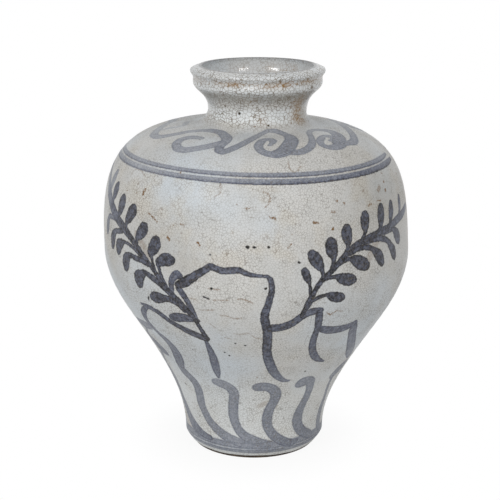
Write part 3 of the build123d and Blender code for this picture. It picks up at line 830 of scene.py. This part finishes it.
# The grid of the outer glaze: its outside stands proud by the potter's marks and rolls into a bead at its
# wavy lower edge, and its hidden side follows the clay.
def outerGlazeGrid(values):
    size = SimpleNamespace(**values)
    foot = outsideLine[:, 1] < vaseForm["bevelHeight"]
    edgeWalk = np.interp(vaseForm["bareHeight"], outsideLine[foot, 1], outsideWalk[foot])
    rimStart, rimEnd, lastWalk = crestWalk + size.rimFrom, crestWalk + size.rimTo, outsideWalk[-1]
    shown = np.concatenate([
        edgeWalk + np.array(size.edgeRows),
        np.linspace(edgeWalk + size.bodyFrom, size.neckFrom, size.bodyRows),
        np.linspace(size.neckFrom, rimStart, size.neckRows + 1)[1:],
        np.linspace(rimStart, rimEnd, size.rimRows + 1)[1:],
        np.linspace(rimEnd, lastWalk, size.boreRows + 1)[1:]])
    hidden = np.concatenate([np.linspace(lastWalk, size.neckFrom, size.hiddenNeck),
                             np.linspace(size.neckFrom, edgeWalk, size.hiddenBody + 1)[1:]])
    turn = np.linspace(0, 2 * math.pi, size.columns, endpoint=False)
    angle, walk = np.meshgrid(turn, np.concatenate([shown, hidden]))
    degrees = np.degrees(angle)
    row = np.arange(len(walk))[:, None]
    isShown = row < len(shown)
    ripple = sum(share * np.sin(count * angle + start) for share, count, start in size.waves)
    ripple = size.edgeWave * ripple
    for side in size.runSides:
        ripple = ripple - size.edgeRun * np.exp(-(turnFrom(side, degrees) / size.runWidth) ** 2)
    walk = walk + ripple * (1 - smoothStep(walk, edgeWalk, edgeWalk + size.edgeReach))
    spot, out = onLine(outsideLine, outsideWalk, walk)
    bead = size.edgeBead * np.exp(-(walk - ripple - edgeWalk - size.beadAt) ** 2)
    proud = np.where(isShown, potterMarks(angle, walk) + bead, -size.glazeDepth)
    spot = spot + out * np.where(row == 0, -size.edgeSunk, proud)[..., None]
    work = brushWork
    lift = work["lift"] + work["shoulderLift"] * smoothStep(walk, work["shoulderFrom"], work["shoulderTo"])
    painted = np.where(isShown & (walk <= crestWalk), walk - lift, -work["farOff"])
    layers = [*sortLayers(work["layers"], work["room"]), rustMarks]
    ink, tones = layPaint(layers, degrees + work["turn"], painted, spot[..., 0], work)
    stain, darkPatchAndShade = [hills(places, degrees, walk) for places in (neckStains, darkPatchAndShadePlaces)]
    fields = {"walk": walk, "stain": stain, "darkPatchAndShade": darkPatchAndShade}
    marks = {label: np.where(isShown, field, 0.0) for label, field in fields.items()}
    for layer in range(len(layers)):
        marks["ink%d" % layer] = ink[layer]
        marks["tone%d" % layer] = tones[layer]
    return turnedGrid(spot[..., 0], spot[..., 1], angle), marks


liningGlaze = {"columns": 220, "rows": 150, "hiddenRows": 40, "glazeDepth": 0.78}


# The grid of the lining: down the inside to the middle of the floor, and its hidden side back up.
def liningGlazeGrid(size):
    walk = np.concatenate([np.linspace(0, insideWalk[-1], size["rows"]),
                           np.linspace(insideWalk[-1], 0, size["hiddenRows"])])
    spot, out = onLine(insideLine, insideWalk, walk)
    spot[size["rows"]:] -= out[size["rows"]:] * size["glazeDepth"]
    spot[walk > insideWalk[-1] - 0.01, 0] = 0
    turn = np.linspace(0, 2 * math.pi, size["columns"], endpoint=False)
    angle, radius = np.meshgrid(turn, spot[:, 0])
    return turnedGrid(radius, np.broadcast_to(spot[:, 1:], radius.shape), angle)


# A copy of a node's mesh, merged, that leans as the glaze over it does.
def leaningCopy(node):
    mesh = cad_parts[node].data.copy()
    mesh.name = node + "Lean"
    mergeDoubles(mesh)
    spots = np.zeros(len(mesh.vertices) * 3, np.float32)
    mesh.vertices.foreach_get("co", spots)
    spots = thrown(spots.reshape(-1, 3) / mm) * mm
    mesh.vertices.foreach_set("co", spots.astype(np.float32).ravel())
    mesh.shade_smooth()
    mesh.set_sharp_from_angle(angle=math.radians(30))
    mesh.update()
    return mesh


# Joins inputs of a node to sockets, or sets them to plain values.
def feed(tree, node, inputs):
    for name, value in inputs.items():
        if isinstance(value, bpy.types.NodeSocket):
            tree.links.new(value, node.inputs[name])
        else:
            node.inputs[name].default_value = value


# A node of a shader with its settings made and its inputs fed.
def place(tree, kind, inputs, **settings):
    made = tree.nodes.new(kind)
    for name, value in settings.items():
        setattr(made, name, value)
    feed(tree, made, inputs)
    return made


# One step of arithmetic.
def calc(tree, operation, *values, clamp=False):
    made = place(tree, "ShaderNodeMath", dict(enumerate(values)), operation=operation, use_clamp=clamp)
    return made.outputs[0]


# Values multiplied one after the other.
def times(tree, *values):
    return reduce(lambda product, value: calc(tree, "MULTIPLY", product, value), values)


# Values added one after the other.
def plus(tree, *values):
    return reduce(lambda total, value: calc(tree, "ADD", total, value), values)


# The highest of several values.
def highest(tree, *values):
    return reduce(lambda top, value: calc(tree, "MAXIMUM", top, value), values)


# A value less another.
def minus(tree, value, less):
    return calc(tree, "SUBTRACT", value, less)


# A value carried smoothly from one range to another.
def ease(tree, value, low, high, start=0.0, end=1.0):
    inputs = {"Value": value, "From Min": low, "From Max": high, "To Min": start, "To Max": end}
    return place(tree, "ShaderNodeMapRange", inputs, interpolation_type="SMOOTHSTEP").outputs[0]


# A band: 1 between two values, easing to 0 on both sides.
def band(tree, value, low, high, soft):
    rise = ease(tree, value, low - soft, low + soft)
    return times(tree, rise, ease(tree, value, high + soft, high - soft))


# A colour written as it looks on a screen, 0 to 255, as the shader wants it.
def screenColour(red, green, blue):
    parts = np.array([red, green, blue]) / 255
    parts = np.where(parts <= 0.04045, parts / 12.92, ((parts + 0.055) / 1.055) ** 2.4)
    return (*[float(part) for part in parts], 1.0)


# One colour over another, each a socket or three screen values.
def blendColour(tree, share, under, over):
    under, over = [screenColour(*tone) if isinstance(tone, tuple) else tone for tone in (under, over)]
    return place(tree, "ShaderNodeMix", {0: share, 6: under, 7: over}, data_type="RGBA").outputs[2]


# Cloudy noise.
def clouds(tree, where, scale, detail=2.0, roughness=0.5):
    inputs = {"Vector": where, "Scale": scale, "Detail": detail, "Roughness": roughness}
    return place(tree, "ShaderNodeTexNoise", inputs).outputs[0]


# Noise less its middle, so that it goes both ways.
def centred(tree, noise):
    return minus(tree, noise, 0.5)


# A value that the mesh carries.
def stored(tree, name, output="Fac"):
    return place(tree, "ShaderNodeAttribute", {}, attribute_name=name).outputs[output]


# The three parts of a vector.
def partsOf(tree, vector):
    return place(tree, "ShaderNodeSeparateXYZ", {"Vector": vector}).outputs


# The length of two sides at a right angle.
def longSide(tree, one, other):
    return calc(tree, "SQRT", plus(tree, times(tree, one, one), times(tree, other, other)))


# A group placed in a material with its own values.
def useGroup(tree, group, inputs):
    return place(tree, "ShaderNodeGroup", inputs, node_tree=group).outputs


# A node group with its sockets named: a vector, numbers with starting values, and the numbers it puts out.
def newGroup(name, vector, numbers, outputs):
    tree = bpy.data.node_groups.new(name, "ShaderNodeTree")
    tree.interface.new_socket(name=vector, in_out="INPUT", socket_type="NodeSocketVector")
    for label, start in numbers.items():
        socket = tree.interface.new_socket(name=label, in_out="INPUT", socket_type="NodeSocketFloat")
        socket.default_value = start
    for label in outputs:
        tree.interface.new_socket(name=label, in_out="OUTPUT", socket_type="NodeSocketFloat")
    given = tree.nodes.new("NodeGroupInput")
    return tree, tree.nodes.new("NodeGroupOutput"), *given.outputs[:3]


# How the crackle's net is warped: the scale of a noise and how far it moves a point, in metres, and how its
# lines go from thin to wide in patches.
crackleWarp = {
    "scale": 120.0, "shift": 0.0018, "patchScale": 90.0, "patchRange": (0.3, 0.7), "widths": (0.65, 1.25),
}


# Crackle: a net of cells that is warped by noise; the line is where a point is near the edge of its cell.
def crackleGroup(warp):
    numbers = {"Cells": 300.0, "Line": 0.09}
    tree, result, where, cells, width = newGroup("crackleNet", "Where", numbers, ["Line", "Cell"])
    noise = {"Vector": where, "Scale": warp["scale"], "Detail": 1.0}
    wobble = {0: place(tree, "ShaderNodeTexNoise", noise).outputs["Color"], "Scale": warp["shift"]}
    shift = place(tree, "ShaderNodeVectorMath", wobble, operation="SCALE").outputs[0]
    moved = place(tree, "ShaderNodeVectorMath", {0: where, 1: shift}, operation="ADD").outputs[0]
    net = {"Vector": moved, "Scale": cells}
    edge = place(tree, "ShaderNodeTexVoronoi", net, feature="DISTANCE_TO_EDGE").outputs["Distance"]
    tint = place(tree, "ShaderNodeTexVoronoi", net, feature="F1").outputs["Color"]
    patch = clouds(tree, where, warp["patchScale"])
    reach = times(tree, width, ease(tree, patch, *warp["patchRange"], *warp["widths"]))
    line = calc(tree, "SUBTRACT", 1.0, calc(tree, "DIVIDE", edge, reach), clamp=True)
    cell = place(tree, "ShaderNodeSeparateColor", {"Color": tint}).outputs[0]
    feed(tree, result, {"Line": line, "Cell": cell})
    return tree


# Fired grain: fine speckle and slow drift over a surface.
def grainGroup():
    numbers = {"Fine": 900.0, "Slow": 30.0}
    tree, result, where, fine, slow = newGroup("firedGrain", "Where", numbers, ["Speckle", "Drift"])
    speckle, drift = clouds(tree, where, fine, 3.0, 0.6), clouds(tree, where, slow, 3.0)
    feed(tree, result, {"Speckle": speckle, "Drift": drift})
    return tree


# The look of the ink: the reach of a stroke's darker rim, and noise written as scale, detail and roughness.
# A pair goes from its first to its second value over the "Range" of a noise or the "Tones" of a stroke.
inkLook = {
    "rim": (-1.8, -0.2), "pooled": 0.16, "pooledFrom": 0.4, "leastCover": 0.02, "grains": 0.55,
    "edgeScale": 420.0, "ragged": (1.2, 2.0), "raggedTones": (0.70, 0.84),
    "soft": (0.85, 0.45), "softTones": (0.45, 0.75), "hairs": 0.14, "hairScale": 0.9,
    "streaks": (-0.13, 0.13), "streakNoise": (260.0, 4.0, 0.65), "streakRange": (0.36, 0.64),
    "uneven": (0.3, 1.0), "unevenTones": (0.5, 0.8),
    "colours": [
        (0.0, (180, 184, 189)), (0.2, (164, 168, 174)), (0.35, (144, 148, 157)), (0.45, (126, 131, 141)),
        (0.6, (94, 99, 115)), (0.8, (58, 60, 70)), (1.0, (18, 18, 19))],
}


# A brush stroke: how much of the surface it covers, with a ragged edge, and how near its rim a point is.
def strokeGroup(rim):
    numbers, outputs = {"Ragged": 0.0, "Soft": 0.5}, ["Cover", "Rim", "Aside"]
    tree, result, stroke, ragged, soft = newGroup("brushStroke", "Stroke", numbers, outputs)
    aside, past, half = partsOf(tree, stroke)
    gap = plus(tree, minus(tree, longSide(tree, aside, past), half), ragged)
    cover = ease(tree, gap, soft, times(tree, soft, -1.0))
    feed(tree, result, {"Cover": cover, "Rim": ease(tree, gap, *rim), "Aside": aside})
    return tree


crackleNet, firedGrain, brushStroke = crackleGroup(crackleWarp), grainGroup(), strokeGroup(inkLook["rim"])


# A new material with its shader and the coordinates of the vase.
def newMaterial(name):
    material = bpy.data.materials.new(name)
    material.use_nodes = True
    tree = material.node_tree
    tree.nodes.clear()
    shader = tree.nodes.new("ShaderNodeBsdfPrincipled")
    output = tree.nodes.new("ShaderNodeOutputMaterial")
    tree.links.new(shader.outputs[0], output.inputs["Surface"])
    where = place(tree, "ShaderNodeTexCoord", {}).outputs["Object"]
    return material, tree, shader, where


# The look of the glaze. Colours are as on a screen, a net is its cells to the metre and the share of a cell
# that a line takes, and noise is its scale, detail and roughness. "Heights" are in millimetres above the
# table, "Walk" is along the outside and "Past" is from the crest on; a third value there is the softness of
# both ends. Other pairs are the least and the most.
glazeLook = {
    # foot is a painted light tone, neckShade a painted shade tone, bead a painted light and highlight tone
    "cool": (196, 202, 207), "warm": (201, 200, 197), "shade": (180, 181, 179), "tan": (198, 188, 166),
    "foot": (219, 221, 220), "darkPatchAndShade": (152, 145, 132), "neckShade": (146, 143, 135), "bead": (218, 221, 222),
    "rim": (108, 110, 114), "wash": (146, 153, 166), "line": (104, 97, 88), "neckLine": (96, 82, 60),
    "rust": (138, 101, 44), "mark": (110, 79, 36),
    "grain": (620.0, 11.0), "mottleNoise": (55.0, 4.0, 0.6), "mottleRange": (0.42, 0.72),
    "cloudNoise": (22.0, 3.0), "cloudRange": (0.40, 0.62), "patchNoise": (30.0, 3.0, 0.6),
    "patchRange": (0.48, 0.68), "blotchNoise": (90.0, 4.0, 0.6), "blotchRange": (0.40, 0.62),
    "wallNet": (430.0, 0.09), "neckNet": (325.0, 0.095), "liningNet": (240.0, 0.08),
    "netHeights": (303, 313), "glossHeights": (309, 320), "rootHeights": (310, 322, 3.0),
    "coveHeights": (329, 336.2, 4.0), "beadHeights": (338, 343, 1.6), "lipHeight": 350.5, "lipSoft": 1.6,
    "bellyHeights": (195, 260, 30), "upperWalk": (225.0, 305.0, 20.0), "footWalk": (112.0, 58.0),
    "washWalk": (8.5, 21.0, 2.0), "lipPast": -2.0, "rimPast": (-1.5, 1.7, 0.5), "borePast": (1.5, 5.0),
    "linePast": (5.0, -2.0), "reliefPast": (-1.0, 3.0), "coatPast": (0.0, 4.0),
    "warmBelly": 0.14, "warmSide": 0.45, "warmRange": (0.35, 0.65), "mottle": 0.35,
    "tanShare": (0.10, 0.24), "footPaintedLight": 0.7,
    "coveShadeShare": 0.32, "coveShadeCellShare": 0.45, "rimShare": 0.75, "washShare": (0.45, 0.78),
    "rootPaintedHighlight": 0.90, "beadPaintedLight": 0.55, "lipPaintedLight": 0.30, "borePaintedLight": 0.35,
    "wallLines": (0.42, 0.66), "neckLines": (0.38, 0.95),
    "blotch": 0.42, "wallRust": (0.10, 0.34), "liningCells": 0.25, "liningLines": 0.5,
    "grainRelief": 0.35, "lineRelief": 0.6, "boreRelief": 0.15, "liningRelief": 0.3,
    "wallRoughness": (0.46, 0.60), "neckRoughness": (0.30, 0.42), "bump": 0.25, "bumpDepth": 0.0004,
    "wallCoat": 0.03, "neckCoat": 0.35, "boreCoat": 0.16, "coatRoughness": 0.12, "specular": 0.26,
}


# Base glaze shared by outside and lining: a cool and a warm tone blended by slow drift, warmer at the belly
# and towards +X, with a darker mottle over them.
def glazeBody(tree, where, look):
    fine, slow = look["grain"]
    grain = useGroup(tree, firedGrain, {"Where": where, "Fine": fine, "Slow": slow})
    spot = partsOf(tree, where)
    belly = band(tree, spot[2], *[height * mm for height in look["bellyHeights"]])
    side = times(tree, spot[0], look["warmSide"])
    warmth = plus(tree, times(tree, belly, look["warmBelly"]), side, grain["Drift"])
    body = blendColour(tree, ease(tree, warmth, *look["warmRange"]), look["cool"], look["warm"])
    mottle = ease(tree, clouds(tree, where, *look["mottleNoise"]), *look["mottleRange"])
    body = blendColour(tree, times(tree, mottle, look["mottle"]), body, look["shade"])
    return body, mottle, grain["Speckle"]


# The crackle of one part of the glaze: its line and the tone of its cells.
def placeCrackle(tree, where, net):
    cells, line = net
    made = useGroup(tree, crackleNet, {"Where": where, "Cells": cells, "Line": line})
    return made["Line"], made["Cell"]


# Joins a glaze's colour, roughness and relief to its shader, and sets its gloss.
def finishGlaze(tree, shader, colour, relief, roughness, coat, look):
    bump = place(tree, "ShaderNodeBump", {
        "Strength": look["bump"], "Distance": look["bumpDepth"], "Height": relief})
    feed(tree, shader, {
        "Base Color": colour, "Roughness": roughness, "Normal": bump.outputs[0], "Coat Weight": coat,
        "Coat Roughness": look["coatRoughness"], "Specular IOR Level": look["specular"]})


# The painting over a colour: each layer's tone, made uneven by streaks and hairs of the brush and darker at
# its rim, then the highest of all layers, looked up in the ink's colours. Also how far the paint covers.
def paintOver(tree, where, colour, speckle, look):
    ink = SimpleNamespace(**look)
    edgeNoise = centred(tree, clouds(tree, where, ink.edgeScale))
    streaks = ease(tree, clouds(tree, where, *ink.streakNoise), *ink.streakRange, *ink.streaks)
    covers, depths = [], []
    for layer in range(brushWork["layers"]):
        tone = stored(tree, "tone%d" % layer)
        ragged = times(tree, edgeNoise, ease(tree, tone, *ink.raggedTones, *ink.ragged))
        stroke = useGroup(tree, brushStroke, {
            "Stroke": stored(tree, "ink%d" % layer, "Vector"),
            "Ragged": minus(tree, ragged, brushWork["spread"]),
            "Soft": ease(tree, tone, *ink.softTones, *ink.soft)})
        across = {"W": stroke["Aside"], "Scale": ink.hairScale, "Detail": 1.0}
        hair = place(tree, "ShaderNodeTexNoise", across, noise_dimensions="1D").outputs[0]
        hairs = times(tree, centred(tree, hair), ink.hairs)
        uneven = plus(tree, times(tree, streaks, ease(tree, tone, *ink.unevenTones, *ink.uneven)), hairs)
        pooled = times(tree, minus(tree, stroke["Rim"], ink.pooledFrom), ink.pooled)
        covers.append(stroke["Cover"])
        depths.append(times(tree, plus(tree, tone, uneven, pooled), stroke["Cover"]))
    cover = highest(tree, *covers)
    depth = calc(tree, "DIVIDE", highest(tree, *depths), highest(tree, cover, ink.leastCover))
    grains = times(tree, centred(tree, speckle), ink.grains)
    ramp = place(tree, "ShaderNodeValToRGB", {"Fac": plus(tree, depth, grains)})
    stops = ramp.color_ramp.elements
    while len(stops) < len(ink.colours):
        stops.new(0.5)
    for stop, (position, shade) in zip(stops, ink.colours):
        stop.position = position
        stop.color = screenColour(*shade)
    return blendColour(tree, cover, colour, ramp.outputs["Color"]), cover


# The look of the rust marks, written as the ink's.
rustLook = {
    "torn": 4.2, "tornNoise": (680.0, 3.0, 0.6), "tornFrom": 0.58,
    "broken": (0.20, 1.0), "brokenNoise": (700.0, 2.0, 0.6), "brokenRange": (0.34, 0.50), "gain": 1.35,
}


# How strong the rust marks are: the cover of their layer, torn at its edges and broken up by noise.
def rustCover(tree, where, look):
    rust = SimpleNamespace(**look)
    layer = brushWork["layers"]
    torn = times(tree, minus(tree, clouds(tree, where, *rust.tornNoise), rust.tornFrom), rust.torn)
    marks = {"Stroke": stored(tree, "ink%d" % layer, "Vector"), "Ragged": torn}
    cover = useGroup(tree, brushStroke, marks)["Cover"]
    broken = ease(tree, clouds(tree, where, *rust.brokenNoise), *rust.brokenRange, *rust.broken)
    strength = times(tree, cover, stored(tree, "tone%d" % layer), broken)
    return calc(tree, "MULTIPLY", strength, rust.gain, clamp=True)


# The outer glaze. Most of it follows the distance along the outside: zones of paler and darker glaze from
# the foot to the bore, several of them painted light and shade (paler towards the foot, painted shade in
# the cove, painted light on the bead, the lip and in the bore, a painted highlight at the root of the neck,
# and painted shade among darker patches), then the painting, the crackle over it, and the rust in stains,
# lines and marks.
def paintedGlazeMaterial(look):
    material, tree, shader, where = newMaterial("paintedGlaze")
    walk, stain, darkPatchAndShade = [stored(tree, name) for name in ("walk", "stain", "darkPatchAndShade")]
    past = minus(tree, walk, float(crestWalk))

    # 1 between two heights, easing to 0 on both sides
    def zone(low, high, soft):
        return band(tree, walk, walkAt(low), walkAt(high), soft)

    # a value that changes from the least to the most with a share
    def within(share, pair):
        return ease(tree, share, 0.0, 1.0, *pair)

    body, mottle, speckle = glazeBody(tree, where, look)
    neckLine, neckCell = placeCrackle(tree, where, look["neckNet"])
    wallLine = placeCrackle(tree, where, look["wallNet"])[0]
    neck = ease(tree, walk, *map(walkAt, look["netHeights"]))
    cloudy = ease(tree, clouds(tree, where, *look["cloudNoise"]), *look["cloudRange"])
    patch = ease(tree, clouds(tree, where, *look["patchNoise"]), *look["patchRange"])
    upper = band(tree, walk, *look["upperWalk"])
    # painted light: the lower wall is painted paler towards the foot
    foot = ease(tree, walk, *look["footWalk"], 0.0, look["footPaintedLight"])
    colour = blendColour(tree, foot, body, look["foot"])
    tan = times(tree, patch, within(upper, look["tanShare"]))
    colour = blendColour(tree, tan, colour, look["tan"])
    # painted shade in the cove under the bead, uneven cell by cell
    coveShadeTone = plus(tree, times(tree, neckCell, look["coveShadeCellShare"]), look["coveShadeShare"])
    coveShade = times(tree, zone(*look["coveHeights"]), coveShadeTone)
    colour = blendColour(tree, coveShade, colour, look["neckShade"])
    # painted light on the top of the bead, on the lip and in the bore, and a painted highlight at the root
    # of the neck
    lip = band(tree, past, walkAt(look["lipHeight"]) - float(crestWalk), look["lipPast"], look["lipSoft"])
    pale = plus(tree, times(tree, zone(*look["beadHeights"]), look["beadPaintedLight"]),
                times(tree, lip, look["lipPaintedLight"]),
                ease(tree, past, *look["borePast"], 0.0, look["borePaintedLight"]),
                times(tree, zone(*look["rootHeights"]), look["rootPaintedHighlight"]))
    colour = blendColour(tree, pale, colour, look["bead"])
    # painted shade and darker patches of the glaze
    colour = blendColour(tree, darkPatchAndShade, colour, look["darkPatchAndShade"])
    rim = band(tree, past, *look["rimPast"])
    colour = blendColour(tree, times(tree, rim, look["rimShare"]), colour, look["rim"])
    # a thin wash between the rings of the foot
    wash = times(tree, band(tree, walk, *look["washWalk"]), within(mottle, look["washShare"]))
    colour = blendColour(tree, wash, colour, look["wash"])
    colour, cover = paintOver(tree, where, colour, speckle, inkLook)
    # crackle lines, fainter on the wall than on the neck
    faint = times(tree, wallLine, within(cloudy, look["wallLines"]), minus(tree, 1.0, neck))
    colour = blendColour(tree, faint, colour, look["line"])
    plain = times(tree, neckLine, neck, ease(tree, past, *look["linePast"], *look["neckLines"]))
    colour = blendColour(tree, plain, colour, look["neckLine"])
    # rust in the neck's stains, along some of the wall's crackle and in marks
    blotches = ease(tree, clouds(tree, where, *look["blotchNoise"]), *look["blotchRange"])
    blotch = times(tree, stain, blotches, look["blotch"])
    colour = blendColour(tree, highest(tree, blotch, times(tree, neckLine, stain)), colour, look["rust"])
    stainedLine = times(tree, wallLine, patch, within(upper, look["wallRust"]))
    wallRust = highest(tree, stainedLine, rustCover(tree, where, rustLook))
    colour = blendColour(tree, times(tree, wallRust, minus(tree, 1.0, cover)), colour, look["mark"])
    relief = times(tree, speckle, look["grainRelief"])
    relief = minus(tree, relief, times(tree, plain, look["lineRelief"]))
    relief = times(tree, relief, ease(tree, past, *look["reliefPast"], 1.0, look["boreRelief"]))
    gloss = [walkAt(height) for height in look["glossHeights"]]
    roughness = place(tree, "ShaderNodeMix", {
        0: ease(tree, walk, *gloss), 2: within(cloudy, look["wallRoughness"]),
        3: within(cloudy, look["neckRoughness"])}).outputs[0]
    coat = plus(tree, ease(tree, walk, *gloss, look["wallCoat"], look["neckCoat"]),
                ease(tree, past, *look["coatPast"], 0.0, look["boreCoat"]))
    finishGlaze(tree, shader, colour, relief, roughness, coat, look)
    return material


# The lining: the same glaze with a wider net, toned cell by cell.
def liningGlazeMaterial(look):
    material, tree, shader, where = newMaterial("liningGlaze")
    body, _, speckle = glazeBody(tree, where, look)
    line, cell = placeCrackle(tree, where, look["liningNet"])
    colour = blendColour(tree, times(tree, cell, look["liningCells"]), body, look["shade"])
    colour = blendColour(tree, times(tree, line, look["liningLines"]), colour, look["line"])
    relief = times(tree, speckle, look["liningRelief"])
    roughness = ease(tree, cell, 0.0, 1.0, *look["neckRoughness"])
    finishGlaze(tree, shader, colour, relief, roughness, look["neckCoat"], look)
    return material


clayLook = {"pale": (176, 158, 132), "brown": (120, 92, 64), "burnt": (52, 42, 34)}
slipLook = {"pale": (190, 176, 152), "brown": (150, 128, 98)}

# The grain that clay and slip share, with radii in metres; other pairs as in the glaze.
clayGrain = {
    "grain": (1400.0, 45.0), "driftRange": (0.35, 0.65), "burntRadii": (0.0550, 0.0585),
    "burntRange": (0.2, 0.5), "burnt": (0.6, 1.0), "speckRange": (0.55, 0.75), "specks": (0.0, 0.4),
    "roughRange": (0.3, 0.7), "roughness": (0.75, 0.95), "bump": 0.5, "bumpDepth": 0.0003,
}


# Bare clay: grainy, browner in patches, darker on the outer edge of the foot.
def clayMaterial(name, look, values):
    clay = SimpleNamespace(**values)
    material, tree, shader, where = newMaterial(name)
    fine, slow = clay.grain
    grain = useGroup(tree, firedGrain, {"Where": where, "Fine": fine, "Slow": slow})
    speckle, drift = grain["Speckle"], grain["Drift"]
    colour = blendColour(tree, ease(tree, drift, *clay.driftRange), look["pale"], look["brown"])
    if "burnt" in look:
        outer = ease(tree, longSide(tree, *partsOf(tree, where)[:2]), *clay.burntRadii)
        burnt = times(tree, outer, ease(tree, drift, *clay.burntRange, *clay.burnt))
        colour = blendColour(tree, burnt, colour, look["burnt"])
    colour = blendColour(tree, ease(tree, speckle, *clay.speckRange, *clay.specks), colour, look["brown"])
    bump = place(tree, "ShaderNodeBump", {
        "Strength": clay.bump, "Distance": clay.bumpDepth, "Height": speckle})
    roughness = ease(tree, speckle, *clay.roughRange, *clay.roughness)
    feed(tree, shader, {"Base Color": colour, "Roughness": roughness, "Normal": bump.outputs[0]})
    return material


paintedGlaze = paintedGlazeMaterial(glazeLook)
liningGlazeCoat = liningGlazeMaterial(glazeLook)
bareClay = clayMaterial("bareClay", clayLook, clayGrain)
jointSlip = clayMaterial("jointSlip", slipLook, clayGrain)
print("materials made")

outerGrid, outerMarks = outerGlazeGrid(outerGlaze)
addPiece("outerGlaze", gridMesh("outerGlaze", outerGrid, outerMarks), paintedGlaze, "glaze", "outer_glaze")
liningMesh = gridMesh("liningGlaze", liningGlazeGrid(liningGlaze), {})
addPiece("liningGlaze", liningMesh, liningGlazeCoat, "glaze", "inner_glaze")
for name, node in (("lowerClay", "lower_body"), ("upperClay", "upper_body"),
                   ("neckClay", "neck_mouth"), ("baseClay", "base_disc")):
    addPiece(name, leaningCopy(node), bareClay, "clay", node)
for name, node in (("baseSlip", "base_joint_slip"), ("bellySlip", "belly_joint_slip"),
                   ("neckSlip", "neck_joint_slip")):
    addPiece(name, leaningCopy(node), jointSlip, "slip", node)

studio = {
    "floorReach": 9.0, "floorColour": (222, 222, 221), "fill": 0.42,
    "whiteFrom": 0.055, "whiteTo": 0.13, "whiteNear": 0.92,
    "lamps": {  # power, width, place, point it is turned towards
        "keyLamp": (14.9, 0.80, (-1.23, -1.5, 1.55), (0, 0, 0.2)),
        "sideLamp": (10.0, 0.80, (1.05, -1.5, 1.55), (0, 0, 0.2)),
        "topLamp": (2.2, 1.2, (0, 0.3, 1.9), (0, 0, 0.2)),
        "lowLamp": (3.1, 0.6, (-0.35, -1.4, 0.22), (0, 0, 0.05)),
    },
}


# 1 for the rays that see the backdrop: from the camera, off gloss and through glass.
def seenRays(tree):
    rays = place(tree, "ShaderNodeLightPath", {}).outputs
    kinds = ("Is Camera Ray", "Is Glossy Ray", "Is Transmission Ray")
    return highest(tree, *[rays[kind] for kind in kinds])


# The floor: a flat sheet that shows the shadow near the vase and is plain white further off.
def makeFloor(values):
    reach = values["floorReach"]
    corners = [(-reach, -reach, 0), (reach, -reach, 0), (reach, reach, 0), (-reach, reach, 0)]
    mesh = bpy.data.meshes.new("floor")
    mesh.from_pydata(corners, [], [(0, 1, 2, 3)])
    floor = bpy.data.objects.new("floor", mesh)
    bpy.context.scene.collection.objects.link(floor)
    material, tree, shader, where = newMaterial("floorPaper")
    feed(tree, shader, {"Base Color": screenColour(*values["floorColour"]), "Roughness": 0.9})
    white = place(tree, "ShaderNodeEmission", {"Color": (1, 1, 1, 1), "Strength": 1.0})
    away = longSide(tree, *partsOf(tree, where)[:2])
    paleness = ease(tree, away, values["whiteFrom"], values["whiteTo"], values["whiteNear"], 1.0)
    share = times(tree, seenRays(tree), paleness)
    both = place(tree, "ShaderNodeMixShader", {0: share, 1: shader.outputs[0], 2: white.outputs[0]})
    output = next(part for part in tree.nodes if part.type == "OUTPUT_MATERIAL")
    feed(tree, output, {"Surface": both.outputs[0]})
    mesh.materials.append(material)


# A soft lamp: a sheet of light, four times as wide as high, at a place and turned towards a point.
def softLamp(name, power, size, spot, target):
    data = bpy.data.lights.new(name, "AREA")
    data.shape = "RECTANGLE"
    data.size = size
    data.size_y = size / 4
    data.energy = power
    lamp = bpy.data.objects.new(name, data)
    away = np.array(target, float) - np.array(spot, float)
    level = math.hypot(away[0], away[1])
    lamp.location = spot
    lamp.rotation_euler = (math.atan2(level, -away[2]), 0, math.atan2(-away[0], away[1]))
    bpy.context.scene.collection.objects.link(lamp)


# The air of the studio: an even fill, seen as plain white.
def makeWorld(values):
    world = bpy.data.worlds.new("studioAir")
    bpy.context.scene.world = world
    world.use_nodes = True
    tree = world.node_tree
    tree.nodes.clear()
    fill = place(tree, "ShaderNodeBackground", {"Color": (1, 1, 1, 1), "Strength": values["fill"]})
    white = place(tree, "ShaderNodeBackground", {"Color": (1, 1, 1, 1), "Strength": 1.0})
    both = place(tree, "ShaderNodeMixShader", {0: seenRays(tree), 1: fill.outputs[0], 2: white.outputs[0]})
    place(tree, "ShaderNodeOutputWorld", {"Surface": both.outputs[0]})


# The camera stands as the photographer did: a long lens, a little above the mouth, looking down.
viewpoint = {"spot": (-0.0039, -1.2536, 0.532), "lookDown": 15.55, "lens": 100.8, "sensor": 36.0}


# The camera at that place, level and tipped down.
def makeCamera(values):
    data = bpy.data.cameras.new("camera")
    data.lens = values["lens"]
    data.sensor_width = values["sensor"]
    camera = bpy.data.objects.new("camera", data)
    camera.location = values["spot"]
    camera.rotation_euler = (math.radians(90 - values["lookDown"]), 0, 0)
    bpy.context.scene.collection.objects.link(camera)
    bpy.context.scene.camera = camera


makeFloor(studio)
makeWorld(studio)
for name, lamp in studio["lamps"].items():
    softLamp(name, *lamp)
makeCamera(viewpoint)
bpy.context.scene.view_settings.view_transform = "Standard"
print("stage made")
